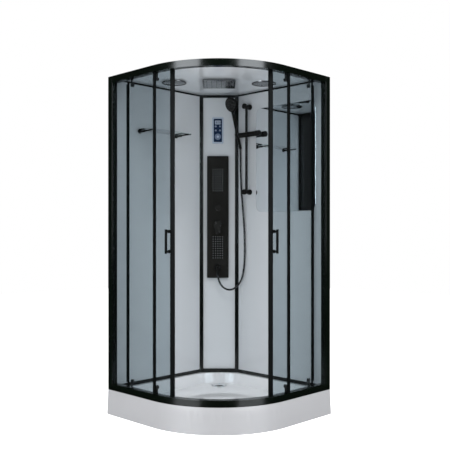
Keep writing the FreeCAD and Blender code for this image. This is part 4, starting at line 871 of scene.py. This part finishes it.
handle_nut = bmesh.new()
frustum(handle_nut, HANDLE_TAIL + ALONG * HANDLE_NUT_GRIP,
        HANDLE_TAIL - ALONG * HANDLE_NUT_REACH, HANDLE_NUT_RADIUS, NUT_RADIUS, NUT_SIDES)
handle_nut = small_part("handle_nut", handle_nut, "satin_black", "handset")
elbow_nut = bmesh.new()
frustum(elbow_nut, ELBOW_END + UP * ELBOW_NUT_GRIP, ELBOW_END - UP * ELBOW_NUT_REACH,
        ELBOW_NUT_RADIUS, NUT_RADIUS, NUT_SIDES)
elbow_nut = small_part("elbow_nut", elbow_nut, "satin_black", "cabin")
hose.data.materials.append(finishes["hose_black"])

# %% [markdown]
# The hand shower's round face looks forward and a little down into the cabin. It has a raised
# rim and rubber nozzles in four circles. Particles could scatter the nozzles over the face, but
# real ones stand in exact circles. So they are short cones, placed by their angle on each
# circle, and they stand up far enough to be seen from the side.

# %% Rim and nozzles of the hand shower
SPRAY_TILT = math.radians(70)
HEAD_ABOVE = 0.222
HEAD_DEPTH = 0.011
SPRAY = Vector((0, -math.sin(SPRAY_TILT), -math.cos(SPRAY_TILT)))
SPRAY_FACE = HOLDER + ALONG * HEAD_ABOVE + SPRAY * HEAD_DEPTH
SPRAY_RINGS = ((0.010, 6), (0.020, 12), (0.030, 18), (0.039, 24))
RIM_OUTER = 0.0445
RIM_INNER = 0.042
RIM_SINK = 0.0005
RIM_HEIGHT = 0.0015
RIM_SIDES = 48
NOZZLE_SEAT_RADIUS = 1.7 * MM
NOZZLE_TIP_RADIUS = 1.1 * MM
NOZZLE_SINK = 0.0004
NOZZLE_HEIGHT = 0.0016
NOZZLE_SIDES = 8

spray_ring = bmesh.new()
ring(spray_ring, SPRAY_FACE - SPRAY * RIM_SINK, SPRAY, RIM_OUTER, RIM_INNER, RIM_HEIGHT,
     RIM_SIDES)
small_part("spray_ring", spray_ring, "satin_black", "handset")

nozzles = bmesh.new()
level = Vector((1, 0, 0))
slope = SPRAY.cross(level)
for radius, count in SPRAY_RINGS:
    for number in range(count):
        turn = 2 * math.pi * number / count
        seat = SPRAY_FACE + (level * math.cos(turn) + slope * math.sin(turn)) * radius
        frustum(nozzles, seat - SPRAY * NOZZLE_SINK, seat + SPRAY * NOZZLE_HEIGHT,
                NOZZLE_SEAT_RADIUS, NOZZLE_TIP_RADIUS, NOZZLE_SIDES)
small_part("spray_nozzles", nozzles, "jet_rubber", "handset")

# %% [markdown]
# The fan and the speaker in the ceiling have round covers with a thin dark bezel. Its dark ring
# is partly painted shade: it also stands in for the shade in the recess around each cover. A
# torus would be too round for it, because the real one is a flat pressed ring. It lies under
# the rim of its cover, so it takes its place from the middle and the underside of the CAD
# cover.

# %% Ceiling bezels with painted shade
BEZEL_AND_SHADE_OUTER = 0.0805
BEZEL_AND_SHADE_INNER = 0.071
BEZEL_AND_SHADE_SINK = 0.001
BEZEL_AND_SHADE_HEIGHT = 0.0022
BEZEL_AND_SHADE_SIDES = 64

for name, cover in (("fan", "fan_grille"), ("speaker", "speaker")):
    x, y = (middle_of(cover, axis) for axis in (Vector((1, 0, 0)), Vector((0, 1, 0))))
    under = Vector((x, y, start_of(cover, UP)))
    # The dark ring is a bezel and painted shade: it also stands for the shade in the recess
    # around the cover.
    bezel_and_shade = bmesh.new()
    ring(bezel_and_shade, under + UP * BEZEL_AND_SHADE_SINK, -UP, BEZEL_AND_SHADE_OUTER, BEZEL_AND_SHADE_INNER, BEZEL_AND_SHADE_HEIGHT,
         BEZEL_AND_SHADE_SIDES)
    small_part(f"{name}_bezel", bezel_and_shade, "satin_black", "cabin")

# %% [markdown]
# Extruded profiles and formed sheets have no knife edges. A die or a mould leaves a small
# radius there, which catches the light as a thin line, so those pieces get one, given here in
# millimetres. One radius for all would be simpler, but a soft seal and a thick tray differ too
# much. Flat sheets, the hidden frame and the tiniest parts keep their plain CAD shape. A few
# pieces take another finish than the usual one of their slot.

# %% Edges and own finishes
PLAIN_PIECES = ("tray_frame", "wall_left", "wall_right", "column_panel", "roof",
                "fixed_glass_left", "fixed_glass_right", "jet_nozzles", "roof_screws")
EDGE_RADII = {
    "tray": 1.5, "apron": 1.5, "top_rail": 1.2, "bottom_rail": 1.2, "corner_posts": 1.5,
    "fixed_stiles": 0.6, "door_stile_left": 0.8, "door_stile_right": 0.8,
    "door_seal_left": 0.3, "door_seal_right": 0.3, "column_frame": 1.0, "wall_trims": 0.8,
    "shower_panel": 0.8, "mirror": 1.2, "shelf_glass": 0.5, "shelf_brackets": 0.4,
    "tray_feet": 0.4, "drain_trap": 0.5, "fan_housing": 0.8, "fan_rotor": 0.2,
}
OWN_FINISH = {f"door_{part}_{side}": "profile_matt" for part in ("stile", "seal", "handle")
              for side in ("left", "right")}
OWN_FINISH.update({"fixed_stiles": "profile_matt", "mixer_lever": "satin_dial",
                   "diverter_knob": "satin_dial"})
print("rounded edges:", len(EDGE_RADII), "pieces, own finish:", len(OWN_FINISH), "pieces")

# %% [markdown]
# The CAD pieces arrive as loose triangles, and curved ones would show facets. So each is
# copied, its doubled corners are merged and its flat areas are joined again. Where a radius is
# given, the sharp edges are then bevelled. A bevel modifier could do this live, but baking it
# in keeps the edges the same everywhere. The copy then stands for the CAD piece.

# %% Finished copies of the CAD pieces
# The merge distance is in metres, and the turns are in degrees.
MERGE_DISTANCE = 2e-6
FLAT_TURN = 0.5
SHARP_TURN = 38.0
BEVEL_TURN = 20.0


def merged_copy(node_name):
    """A bmesh of a CAD piece with its doubles merged and its flat areas joined."""
    shape = bmesh.new()
    shape.from_mesh(frame["nodes"][node_name].data)
    bmesh.ops.remove_doubles(shape, verts=shape.verts, dist=MERGE_DISTANCE)
    bmesh.ops.dissolve_limit(shape, angle_limit=math.radians(FLAT_TURN),
                             use_dissolve_boundaries=False, verts=shape.verts,
                             edges=shape.edges)
    return shape


def round_edges(shape, radius):
    """Gives the sharp edges of a closed shape a small radius in millimetres."""
    sharp = [edge for edge in shape.edges
             if edge.is_manifold and edge.calc_face_angle(0) > math.radians(SHARP_TURN)]
    bmesh.ops.bevel(shape, geom=sharp, offset=radius * MM, offset_type="OFFSET", segments=2,
                    profile=0.5, affect="EDGES", clamp_overlap=True, material=-1)


def finished_copy(node_name):
    """A smooth copy of a CAD piece, with its edges rounded, shown in its place."""
    shape = merged_copy(node_name)
    crease = SMOOTH_TURN
    if node_name in EDGE_RADII:
        round_edges(shape, EDGE_RADII[node_name])
        crease = BEVEL_TURN
    slot = slot_of_node[node_name]
    copy = piece(node_name + "_finished", shape, body_of_node[node_name], crease)
    copy.data.materials.append(finishes[OWN_FINISH.get(node_name, slot)])
    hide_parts(node_name)
    return copy


copies = [finished_copy(name) for name in frame["nodes"]
          if name not in PLAIN_PIECES and name != "shower_hose"]
for name in PLAIN_PIECES:
    solid = frame["nodes"][name]
    solid.data.materials.clear()
    solid.data.materials.append(finishes[slot_of_node[name]])
print("finished copies:", len(copies), "and plain pieces:", len(PLAIN_PIECES))
